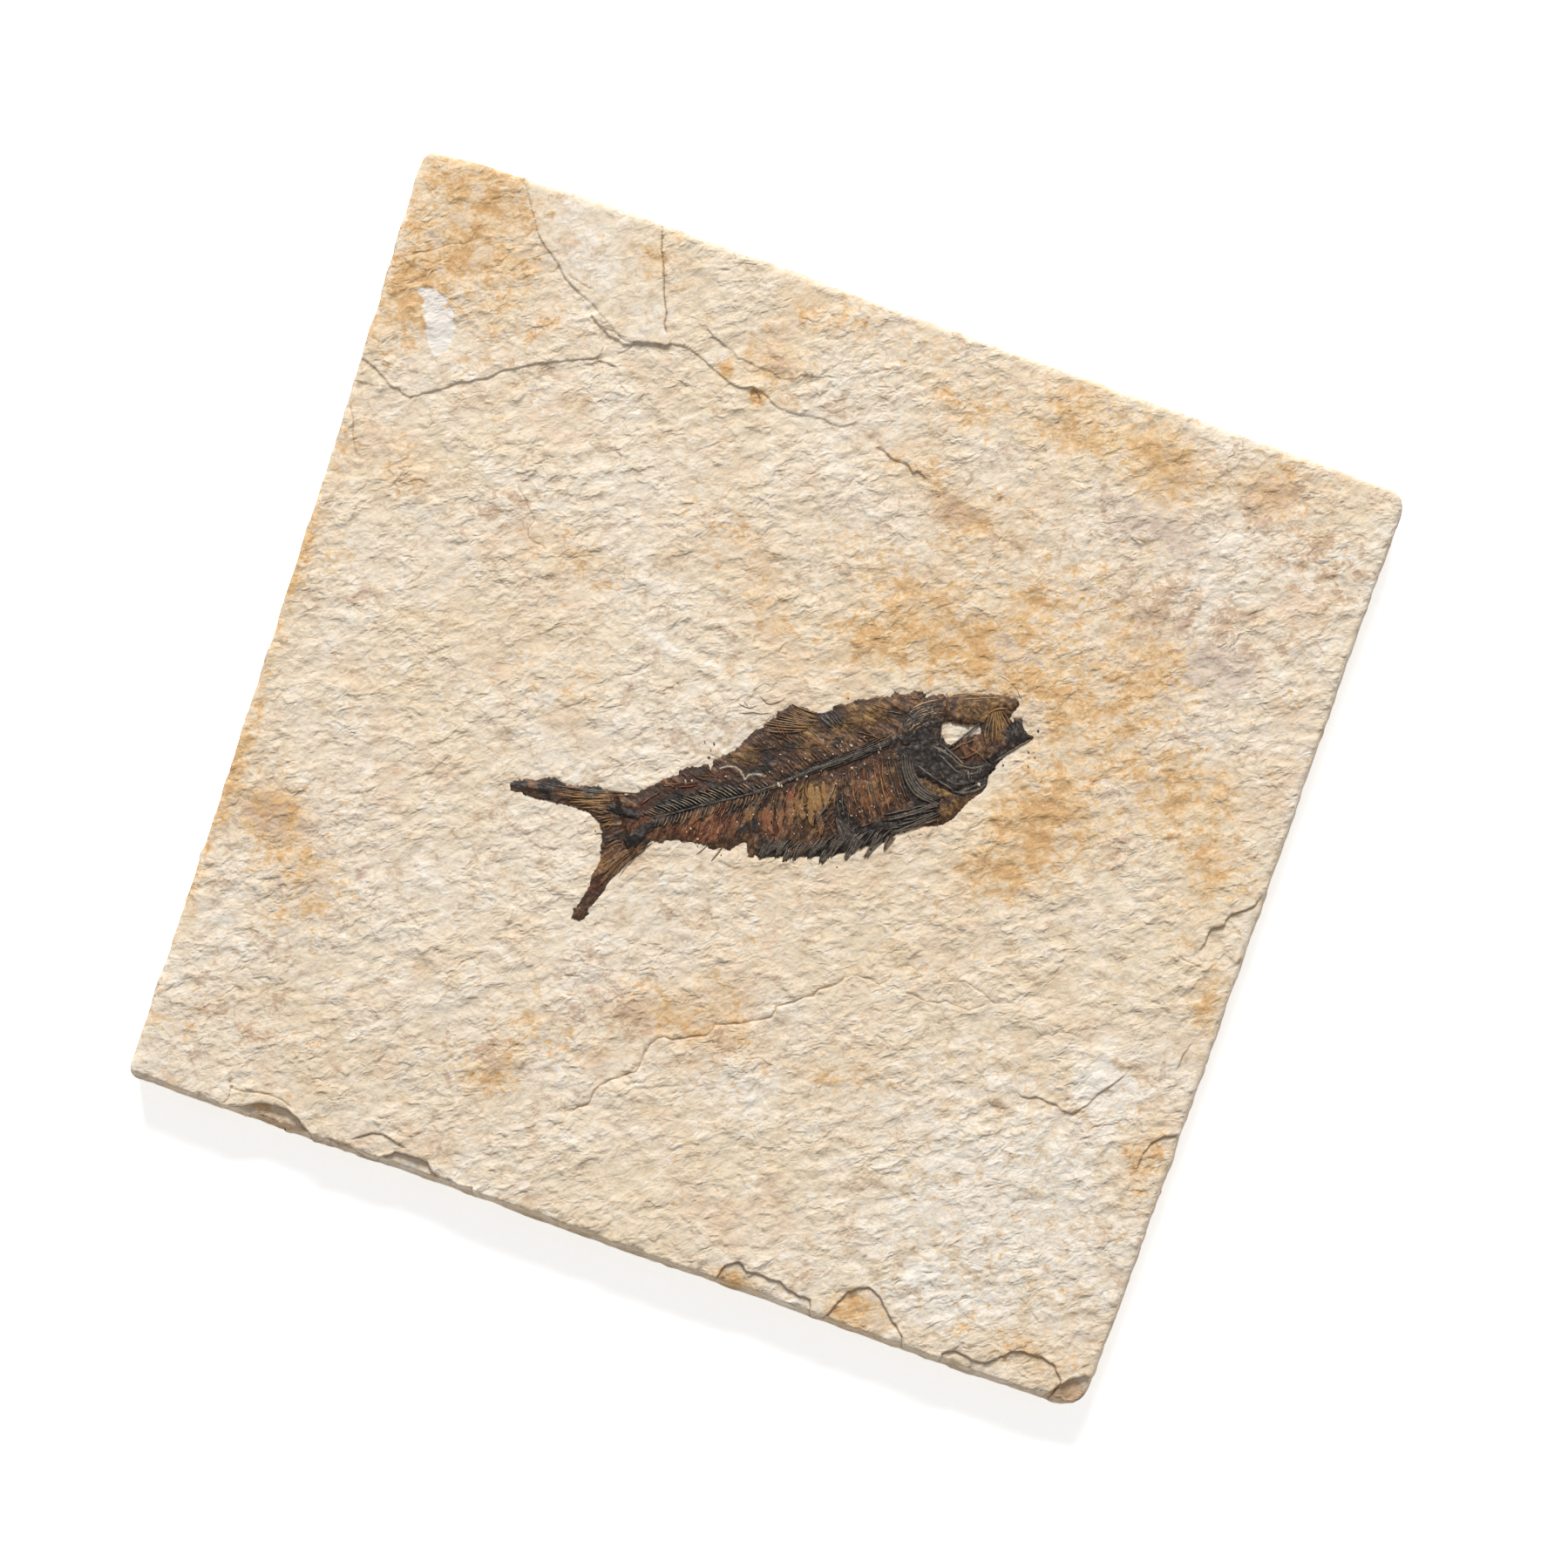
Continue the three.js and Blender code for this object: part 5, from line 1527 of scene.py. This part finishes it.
def stone_relief(made, folded):
    """The crumple that is shading only: its height, and how far each place is from a crease."""
    lumps = made.noise(1.7, 2.5, 0.5, place=folded)
    crumple = made.ridged(1.2, 1.5, folded)
    small = made.ridged(0.6, 2.0, folded)
    grit = made.noise(0.3, 3.0, 0.6)
    rough = made.band(made.noise(7.0, 3.0, 0.6), 0.35, 0.65, 0.55, 1.25)
    flaked = made.band(made.noise(1.9, 2.0, 0.55, place=folded), 0.44, 0.53)
    broken = made.band(made.noise(3.4, 3.0, 0.55, place=folded), 0.48, 0.55)
    height = made.math("MULTIPLY_ADD", crumple, 0.35, made.math("MULTIPLY", small, 0.28))
    height = made.math("MULTIPLY_ADD", flaked, 0.09, made.math("MULTIPLY_ADD", broken, 0.11, height))
    height = made.math("MULTIPLY", made.math("MULTIPLY_ADD", lumps, 1.4, height), rough)
    height = made.math("MULTIPLY_ADD", grit, 0.1, height)
    height = made.math("MULTIPLY", height, made.band(made.number("calm"), 0.0, 1.0, 1.0, 0.55))
    return height, made.math("ADD", crumple, small)


def stained_stone(made, speckle, settings):
    """Cream stone in clouds, with the painted stains broken up at their edges."""
    clouds = made.noise(20.0, 4.0, 0.6)
    patches = made.noise(4.0, 4.0, 0.65, 0.6)
    blush = made.noise(11.0, 4.0, 0.65)
    cream = made.mix(made.band(clouds, 0.35, 0.65), settings.stone_cream, settings.stone_warm)
    cream = made.mix(made.band(blush, 0.52, 0.68, 0.0, 0.8), cream, settings.stone_blush)
    cream = made.mix(made.band(patches, 0.5, 0.7, 0.0, 0.85), cream, settings.stone_pale)
    cream = made.mix(made.band(patches, 0.48, 0.28, 0.0, 0.7), cream, settings.stone_tan)

    spread = 0.0
    for source, amount in ((patches, 4.0), (speckle, 3.4), (clouds, 1.2), (blush, 1.4)):
        spread = made.swing(source, amount, spread)
    pale = made.band(made.math("ADD", made.number("pale"), spread), 0.35, 1.1, 0.0, 0.8)
    colour = made.mix(pale, cream, settings.stone_pale)
    ochre = made.math("ADD", made.number("ochre"), spread)
    colour = made.mix(made.band(ochre, 0.3, 1.25, 0.0, 0.8), colour, settings.stone_ochre)
    colour = made.mix(made.band(ochre, 1.0, 1.7, 0.0, 0.7), colour, settings.stone_rust)
    brown = made.band(made.math("SUBTRACT", made.number("brown"), spread), 0.45, 1.15, 0.0, 0.75)
    colour = made.mix(brown, colour, settings.stone_brown)
    lilac = made.band(made.math("SUBTRACT", made.number("lilac"), spread), 0.35, 1.2, 0.0, 0.65)
    return made.mix(lilac, colour, settings.stone_lilac)


def limestone(settings):
    """Cream limestone, iron-stained in patches, with shadowed creases and a chalky bruise."""
    made = Finish("limestone")
    grained = made.stretch(-35.0, (1 / 1.5, 1.0, 1.0))
    shift = made.node("ShaderNodeVectorMath", {"operation": "MULTIPLY_ADD"})
    made.feed(shift.inputs[0], made.node(
        "ShaderNodeTexNoise", Vector=grained, Scale=0.45, Detail=1.0).outputs["Color"])
    made.feed(shift.inputs[1], (1.3, 1.3, 1.3))
    made.feed(shift.inputs[2], grained)
    folded = shift.outputs["Vector"]

    height, uncreased = stone_relief(made, folded)
    speckle = made.noise(1.1, 4.0, 0.7, 0.8)
    colour = stained_stone(made, speckle, settings)
    # painted shade in the creases and low places
    low = made.band(uncreased, 0.16, 0.02)
    crease_shade = made.math("MULTIPLY_ADD", made.number("hollow"), 0.25, made.math("MULTIPLY", low, 0.3))
    colour = made.mix(crease_shade, colour, made.mix(1.0, colour, settings.stone_shadow, "MULTIPLY"))
    fleck = made.band(made.noise(0.5, 2.0, 0.6), 0.73, 0.78, 0.0, 0.6)
    # cracks and flecks in their own dark colour, with painted shade at the foot of ledges and steps
    crack = made.math("MAXIMUM", made.band(made.number("crack"), 0.15, 0.95, 0.0, 0.85), fleck)
    colour = made.mix(crack, colour, settings.stone_crack)
    # painted shade along the front and right edges, in the rim colour
    colour = made.mix(made.math("MULTIPLY", made.number("rim"), 0.6), colour, settings.stone_rim_and_shade)
    streaks = made.noise(0.5, 3.0, 0.6, place=made.stretch(-40.0, (0.25, 1.0, 1.0)))
    chalk = made.band(made.math("MULTIPLY_ADD", streaks, 0.9, made.number("bruise")), 0.75, 1.45, 0.0, 0.95)
    colour = made.mix(chalk, colour, settings.stone_chalk)

    beds = made.noise(1.0, 4.0, 0.7, place=made.stretch(0.0, (0.22, 0.22, 1.0)))
    cut = made.mix(made.band(beds, 0.3, 0.7), settings.stone_bed, settings.stone_rim_and_shade)
    colour = made.mix(made.math("MULTIPLY", made.number("wall"), 0.85), colour, cut)

    return made.surface(
        Base_Color=colour,
        Roughness=made.band(speckle, 0.3, 0.7, 0.82, 0.96),
        Specular_IOR_Level=0.25,
        Normal=made.bump(height, settings.bump_depth / MM),
    )


def fossil(settings):
    """Brown bone: dark, golden and reddish by place, streaked along its fibres, with painted shade in its
    hollows and, on its crests, worn colour and painted highlight.
    """
    ready = bpy.data.materials.get("old_bone")
    if ready:
        return ready
    made = Finish("old_bone")
    speckle = made.noise(0.55, 4.0, 0.65, 0.4)
    grit = made.noise(0.2, 3.0, 0.6)
    broad = made.noise(1.7, 3.0, 0.6, 0.5)
    flake = made.node("ShaderNodeTexVoronoi", Vector=made.place, Scale=1 / 0.42).outputs["Color"]
    chance = made.node("ShaderNodeSeparateColor", Color=flake).outputs["Red"]
    course = made.node("ShaderNodeCombineXYZ", X=made.number("course"), Y=made.math("MULTIPLY", chance, 0.3))
    streak = made.noise(0.3, 3.0, 0.6, place=course.outputs["Vector"])

    scale = made.node("ShaderNodeTexVoronoi", Vector=made.place, Scale=1 / 1.1).outputs["Color"]
    patch = made.node("ShaderNodeSeparateColor", Color=scale).outputs["Red"]
    mottle = made.swing(speckle, 0.6, made.swing(patch, 0.6, made.swing(broad, 1.8)))
    mottle = made.math("MULTIPLY", mottle, 0.7)
    colour = made.mix(made.band(streak, 0.35, 0.65), settings.bone_brown, settings.bone_umber)
    golden = made.band(made.math("ADD", made.number("gold"), mottle), 0.25, 0.95)
    colour = made.mix(golden, colour, settings.bone_gold)
    ruddy = made.band(made.math("ADD", made.number("red"), mottle), 0.3, 1.0, 0.0, 0.8)
    colour = made.mix(ruddy, colour, settings.bone_red)
    black = made.band(made.math("SUBTRACT", made.number("dark"), mottle), 0.3, 1.0, 0.0, 0.92)
    colour = made.mix(black, colour, settings.bone_black)
    # worn colour, which turns to the painted highlight colour on the darkest bone
    worn_and_highlight = made.mix(black, settings.bone_worn_and_highlight, settings.bone_sheen)
    bright = made.band(made.math("ADD", chance, made.math("MULTIPLY", grit, 0.8)), 1.1, 1.4, 0.0, 0.25)
    colour = made.mix(bright, colour, worn_and_highlight)
    # painted shade in the low places of the relief
    low = made.band(made.math("MULTIPLY_ADD", grit, 0.5, made.number("relief")), 1.0, 0.4, 0.0, 0.85)
    colour = made.mix(low, colour, made.mix(1.0, colour, settings.bone_hollow, "MULTIPLY"))
    # crests: partly worn colour, partly painted highlight
    crest_highlight = made.band(made.math("MULTIPLY_ADD", speckle, 0.6, made.number("relief")), 0.95, 1.3)
    crest_highlight = made.math("MULTIPLY", crest_highlight, made.math("MULTIPLY_ADD", made.number("lift"), 0.6, 0.16))
    colour = made.mix(crest_highlight, colour, worn_and_highlight)
    specks = made.math("ADD", made.noise(0.35, 3.0, 0.7), made.math("MULTIPLY", broad, 0.4))
    dust = made.band(specks, 0.91, 0.98)
    chalk = made.math("MAXIMUM", made.number("chalk"), made.math("MULTIPLY", dust, 0.8))
    colour = made.mix(chalk, colour, settings.bone_chalk)

    height = made.math("MULTIPLY_ADD", streak, 0.9, made.math("MULTIPLY", speckle, 0.4))
    height = made.math("MULTIPLY_ADD", grit, 0.3, height)
    return made.surface(
        Base_Color=colour,
        Roughness=made.band(speckle, 0.3, 0.7, 0.36, 0.62),
        Specular_IOR_Level=0.5,
        Normal=made.bump(height, settings.bone_bump / MM),
    )


def pale_grit(settings):
    """Crumbs of the pale stone that still stick to the bone."""
    made = Finish("stone_crumbs")
    shade = made.band(made.noise(0.3, 3.0), 0.35, 0.65)
    colour = made.mix(shade, settings.bone_chalk, settings.bone_crumb)
    return made.surface(Base_Color=colour, Roughness=0.9, Normal=made.bump(made.noise(0.15, 3.0), 0.06))


# ---------------- settings
def tint(name, description, *shade):
    """A colour setting with a display colour as its default."""
    return bpy.props.FloatVectorProperty(
        name=name, description=description, subtype="COLOR", size=3, min=0, max=1, default=srgb(*shade),
    )


def length(name, description, millimetres):
    """A length setting given in millimetres."""
    return bpy.props.FloatProperty(
        name=name, description=description, default=millimetres * MM, min=0, unit="LENGTH", precision=5,
    )


def amount(name, description, value):
    """A plain number setting."""
    return bpy.props.FloatProperty(name=name, description=description, default=value, min=0)


def angle(name, description, degrees):
    """An angle setting given in degrees."""
    default = math.radians(degrees)
    return bpy.props.FloatProperty(name=name, description=description, default=default, subtype="ANGLE")


class StoneSettings(bpy.types.PropertyGroup):
    """Sizes and colours of the slab."""

    stone_cell: length("Surface cell", "Spacing of the bedding plane's vertices", 0.6)
    bump_depth: length("Crumple depth", "Depth of the finest creases, which are shading only", 0.42)
    relief: amount("Relief", "How strongly the split surface stands up", 1.0)
    stone_cream: tint("Cream", "Plain stone", 243, 231, 213)
    stone_warm: tint("Warm cream", "Plain stone in its warmer clouds", 240, 223, 197)
    stone_pale: tint("Pale", "Bleached patches", 250, 245, 236)
    stone_blush: tint("Blush", "Faintly pink clouds", 234, 210, 184)
    stone_tan: tint("Tan", "Slightly stained stone", 231, 206, 170)
    stone_ochre: tint("Ochre", "Iron stain", 233, 198, 149)
    stone_rust: tint("Rust", "Strongest iron stain", 212, 166, 110)
    stone_brown: tint("Brown", "Brown stain", 208, 172, 136)
    stone_lilac: tint("Lilac grey", "Cool patches", 212, 196, 184)
    # painted shade colour of the creases and low places
    stone_shadow: tint("Crease dust", "Tint of the low places", 214, 194, 168)
    # crack colour, also used for painted shade at the foot of ledges and steps
    stone_crack: tint("Crack", "Cracks and the foot of each ledge", 160, 122, 84)
    stone_bed: tint("Bed", "Beds that show on the walls", 206, 187, 158)
    # colour of the broken edge and of the walls' beds, also used for painted shade along the front and right
    # edges
    stone_rim_and_shade: tint("Rim", "The broken edge", 168, 144, 112)
    stone_chalk: tint("Chalk", "The bruised white spot", 238, 231, 222)


class BoneSettings(bpy.types.PropertyGroup):
    """Sizes and colours of the fish."""

    skin_cell: length("Skin cell", "Spacing of the fossil's surface vertices", 0.16)
    plate_cell: length("Plate cell", "Spacing of the broad bones' vertices", 0.2)
    bone_bump: length("Fibre depth", "Depth of the finest fibres, which are shading only", 0.2)
    bone_relief: amount("Relief", "How strongly the flakes and fibres stand up", 1.1)
    bone_brown: tint("Brown", "Plain bone", 141, 101, 67)
    bone_umber: tint("Umber", "Plain bone between the fibres", 96, 66, 46)
    bone_gold: tint("Gold", "Golden bone", 158, 119, 69)
    bone_red: tint("Red brown", "Reddish bone", 152, 92, 60)
    bone_black: tint("Blue black", "Darkest bone", 56, 51, 48)
    # worn flakes and crests; on the crests it is also a painted highlight
    bone_worn_and_highlight: tint("Worn", "Rubbed crests and flakes", 202, 170, 130)
    # painted highlight colour on the crests of the darkest bone
    bone_sheen: tint("Sheen", "Rubbed crests of the darkest bone", 160, 150, 134)
    # painted shade colour of the hollows
    bone_hollow: tint("Hollow", "Tint of the hollows", 100, 84, 76)
    bone_chalk: tint("Chalk", "Pale stone in the bone's gaps", 226, 208, 184)
    bone_crumb: tint("Crumb", "Stained crumbs of stone", 200, 176, 146)


class StageSettings(bpy.types.PropertyGroup):
    """Where the camera and the lights stand."""

    view_turn: angle("View turn", "How far the slab is turned in the view", 19.25)
    view_height: length("View height", "Camera above the floor", 708.0)
    view_width: length("View width", "What the view spans at the bedding plane", 227.8)
    centre_x: length("Centre across", "Middle of the view, across", 3.8)
    centre_y: length("Centre along", "Middle of the view, along", 0.62)
    key_power: amount("Key light", "Power of the key light", 98.0)
    key_size: length("Key size", "Width of the key light", 1000.0)
    key_distance: length("Key distance", "From the slab to the key light", 3000.0)
    floor_reach: length("Floor reach", "From the slab's middle to the floor's sides", 8000.0)
    floor_gap: length("Floor gap", "The floor lies this far below the slab", 0.2)
    fill_light: amount("Fill", "Strength of the white surroundings", 0.33)
    key_rise: angle("Key height", "Angle of the key light above the slab", 37)


# ---------------- operators
class FOSSIL_OT_slab(bpy.types.Operator):
    """Build the split limestone slab"""

    bl_idname = "fossil.slab"
    bl_label = "Limestone Slab"

    def execute(self, context):
        settings = context.scene.fossil_stone
        mesh = build_slab(settings)
        finish_piece("slab_of_limestone", mesh, limestone(settings), "limestone_slab")
        return {"FINISHED"}


def finish_bones(context, meshes):
    """Gives a group of fish pieces its bone finish."""
    material = fossil(context.scene.fossil_bones)
    for name, mesh in meshes.items():
        finish_piece(name, mesh, material)
    return {"FINISHED"}


class FOSSIL_OT_skin(bpy.types.Operator):
    """Build the flattened sheet of fossil that every bone lies on"""

    bl_idname = "fossil.skin"
    bl_label = "Fossil Skin"

    def execute(self, context):
        settings = context.scene.fossil_bones
        finish_piece("fossil_skin", build_skin(settings), fossil(settings), "fossil_fish")
        return {"FINISHED"}


class FOSSIL_OT_plates(bpy.types.Operator):
    """Build the broad bones of the head, belly and tail root"""

    bl_idname = "fossil.plates"
    bl_label = "Broad Bones"

    def execute(self, context):
        settings = context.scene.fossil_bones
        meshes = {}
        for number, (name, (outline, rise, tone)) in enumerate(PLATES.items()):
            meshes[name] = build_plate(outline, rise, tone, 100.0 + 5 * number, settings)
        return finish_bones(context, meshes)


class FOSSIL_OT_backbone(bpy.types.Operator):
    """Build the vertebrae and the long fibres over them"""

    bl_idname = "fossil.backbone"
    bl_label = "Backbone"

    def execute(self, context):
        drums, fibres = backbone_bones()
        return finish_bones(context, {
            "vertebrae": lay_strands(drums, 1.0, rows=4, sides=8, blunt=0.95, pinch=0.25),
            "backbone_fibres": lay_strands(fibres, 2.0, rows=36, wobble=0.2, lift=0.5),
        })


class FOSSIL_OT_spines(bpy.types.Operator):
    """Build the spines above and below the backbone"""

    bl_idname = "fossil.spines"
    bl_label = "Spines"

    def execute(self, context):
        above, below = spine_bones(2)
        return finish_bones(context, {
            "spines_above": lay_strands(above, 3.0, lift=1.3),
            "spines_below": lay_strands(below, 4.0, lift=1.1),
        })


class FOSSIL_OT_ribs(bpy.types.Operator):
    """Build the ribs and the fine bones of the flanks"""

    bl_idname = "fossil.ribs"
    bl_label = "Ribs"

    def execute(self, context):
        chest, slats, behind = rib_bones()
        return finish_bones(context, {
            "chest_ribs": lay_strands(chest, 5.0, rows=14, wobble=0.16, lift=0.3),
            "rear_slats": lay_strands(slats, 22.0, rows=14, sides=8, wobble=0.36, buried=0.1, lift=0.1),
            "rear_ribs": lay_strands(behind, 6.0, rows=8, wobble=0.2, lift=0.5),
            "flank_bones": lay_strands(flesh_bones(7), 7.0, rows=5, wobble=0.16, lift=0.4),
        })


class FOSSIL_OT_fins(bpy.types.Operator):
    """Build the rays of the fins and the tail"""

    bl_idname = "fossil.fins"
    bl_label = "Fins"

    def execute(self, context):
        back, breast, upper, lower = fin_bones()
        return finish_bones(context, {
            "back_fin": lay_strands(back, 8.0, rows=6),
            "breast_fin": lay_strands(breast, 9.0, rows=14, wobble=0.16, lift=0.45),
            "tail_upper_rays": lay_strands(upper, 10.0, rows=12, wobble=0.09),
            "tail_lower_rays": lay_strands(lower, 11.0, rows=12, wobble=0.09),
        })


class FOSSIL_OT_belly(bpy.types.Operator):
    """Build the belly's scutes and the loose spikes"""

    bl_idname = "fossil.belly"
    bl_label = "Belly"

    def execute(self, context):
        spikes = listed(LOOSE_SPIKES, (0.5, -0.2, 0))
        return finish_bones(context, {
            "belly_scutes": lay_strands(belly_bones(), 12.0, rows=7, blunt=0.12, buried=0.1, lift=0.4),
            "loose_spikes": lay_strands(spikes, 13.0, rows=8),
        })


class FOSSIL_OT_head(bpy.types.Operator):
    """Build the strands of the skull, gills, jaws and shoulder"""

    bl_idname = "fossil.head"
    bl_label = "Head"

    def execute(self, context):
        ridges = listed(GILL_RIDGES, (0.7, -0.4, -0.3))
        strut = listed(EYE_STRUT, BLACK_TONE)
        face = listed(HEAD_BONES, (0.1, -0.05, 0))
        cheek = [(path, 0.24, 0.18, (0, 0.1, 0)) for path in CHEEK_FAN]
        outer = np.array(((17.1, -2.6), (16.5, -4.8), (16.5, -6.8), (17.2, -9.0), (19.4, -10.8)))
        inner = np.array(((18.4, -3.2), (17.9, -5.0), (18.0, -6.6), (18.8, -8.6), (20.7, -10.3)))
        girdle = [
            (outer + (inner - outer) * share, 0.44, 0.3, BLACK_TONE) for share in np.linspace(0, 1, 5)
        ]
        return finish_bones(context, {
            "skull_wrinkles": lay_strands(skull_bones(), 14.0, rows=14, wobble=0.34, lift=2.0),
            "gill_ridges": lay_strands(ridges, 15.0, rows=24, wobble=0.12, lift=0.45),
            "shoulder_girdle": lay_strands(girdle, 16.0, rows=20, wobble=0.08, buried=0.0, lift=0.1),
            "eye_strut": lay_strands(strut, 21.0, rows=14, wobble=0.1, buried=0.0, lift=0.05),
            "face_bones": lay_strands(face, 17.0, rows=14, wobble=0.14, lift=0.35),
            "cheek_fan": lay_strands(cheek, 18.0, rows=8, lift=0.5),
            "throat_fan": lay_strands(throat_bones(), 19.0, rows=8),
        })


class FOSSIL_OT_grains(bpy.types.Operator):
    """Build the crumbs of stone on the bone, and the fossil flecks and threads on the stone"""

    bl_idname = "fossil.grains"
    bl_label = "Crumbs and Flecks"

    def execute(self, context):
        settings = context.scene.fossil_bones
        crumbs = build_grains(GRIT_SPOTS + scattered_crumbs(), 71, 0.25)
        finish_piece("stone_crumbs", crumbs, pale_grit(settings))
        return finish_bones(context, {
            "fossil_flecks": build_grains(FLECKS, 72, -0.1),
            "fossil_threads": lay_strands(listed(FILAMENTS, (0.3, 0, 0)), 20.0, rows=16, wobble=0.15),
            "lens_bones": build_grains(LENS_BONES, 73, -0.1),
        })


def aim(item, place, target):
    """Stands a camera or light at a place and points it at a target."""
    item.location = place
    item.rotation_euler = (Vector(target) - Vector(place)).to_track_quat("-Z", "Y").to_euler()


class FOSSIL_OT_stage(bpy.types.Operator):
    """Set up the floor, the lights and the camera"""

    bl_idname = "fossil.stage"
    bl_label = "Stage"

    def execute(self, context):
        settings = context.scene.fossil_stage
        bm = bmesh.new()
        bmesh.ops.create_grid(bm, x_segments=8, y_segments=8, size=settings.floor_reach)
        bmesh.ops.translate(bm, verts=bm.verts, vec=(0, 0, LOW.z - settings.floor_gap))
        mesh = as_mesh(bm, "floor")
        paper = Finish("studio_floor")
        shade = paper.band(paper.noise(60.0, 2.0), 0.3, 0.7)
        grey = paper.mix(shade, (0.93, 0.93, 0.93), (0.95, 0.95, 0.95))
        white = (1, 1, 1)
        mesh.materials.append(paper.surface(
            Base_Color=grey, Roughness=0.9, Emission_Color=white, Emission_Strength=0.6,
        ))
        floor = add_object("floor", mesh)

        world = bpy.data.worlds.new("studio")
        world.use_nodes = True
        sky = world.node_tree.nodes["Background"].inputs
        sky["Color"].default_value = (*white, 1)
        sky["Strength"].default_value = settings.fill_light
        context.scene.world = world

        up = Vector((-math.sin(settings.view_turn), math.cos(settings.view_turn), 0))
        key = bpy.data.lights.new("key", "AREA")
        key.energy = settings.key_power
        key.size = settings.key_size
        rise = settings.key_rise
        towards_key = up * math.cos(rise) + Vector((0, 0, math.sin(rise)))
        aim(add_object("key", key), towards_key * settings.key_distance, (0, 0, 0))

        lens = bpy.data.cameras.new("camera")
        bed = BED * MM
        lens.sensor_width = 36
        lens.lens = lens.sensor_width * (settings.view_height - bed) / settings.view_width
        lens.clip_start = 0.01
        camera = add_object("camera", lens)
        camera.location = (settings.centre_x, settings.centre_y, settings.view_height)
        camera.rotation_euler = (0, 0, settings.view_turn)
        context.scene.camera = camera
        context.scene.view_settings.view_transform = "Standard"
        return {"FINISHED"}


class FOSSIL_PT_panel(bpy.types.Panel):
    """Buttons for each group of pieces"""

    bl_label = "Fossil Fish Slab"
    bl_idname = "FOSSIL_PT_panel"
    bl_space_type = "VIEW_3D"
    bl_region_type = "UI"
    bl_category = "Fossil"

    def draw(self, context):
        for operator in OPERATORS:
            self.layout.operator(operator.bl_idname)


OPERATORS = (
    FOSSIL_OT_slab, FOSSIL_OT_skin, FOSSIL_OT_plates, FOSSIL_OT_backbone, FOSSIL_OT_spines, FOSSIL_OT_ribs,
    FOSSIL_OT_fins, FOSSIL_OT_belly, FOSSIL_OT_head, FOSSIL_OT_grains, FOSSIL_OT_stage,
)
SETTINGS = {"fossil_stone": StoneSettings, "fossil_bones": BoneSettings, "fossil_stage": StageSettings}


def register():
    """Adds the settings, operators and panel to Blender."""
    for kind in (*SETTINGS.values(), *OPERATORS, FOSSIL_PT_panel):
        bpy.utils.register_class(kind)
    for name, kind in SETTINGS.items():
        setattr(bpy.types.Scene, name, bpy.props.PointerProperty(type=kind))


def unregister():
    """Takes them out again."""
    for name in SETTINGS:
        delattr(bpy.types.Scene, name)
    for kind in (FOSSIL_PT_panel, *OPERATORS, *SETTINGS.values()):
        bpy.utils.unregister_class(kind)


def main():
    """Builds every piece in order."""
    register()
    for operator in OPERATORS:
        group, _, action = operator.bl_idname.partition(".")
        getattr(getattr(bpy.ops, group), action)()


if __name__ == "__main__":
    main()
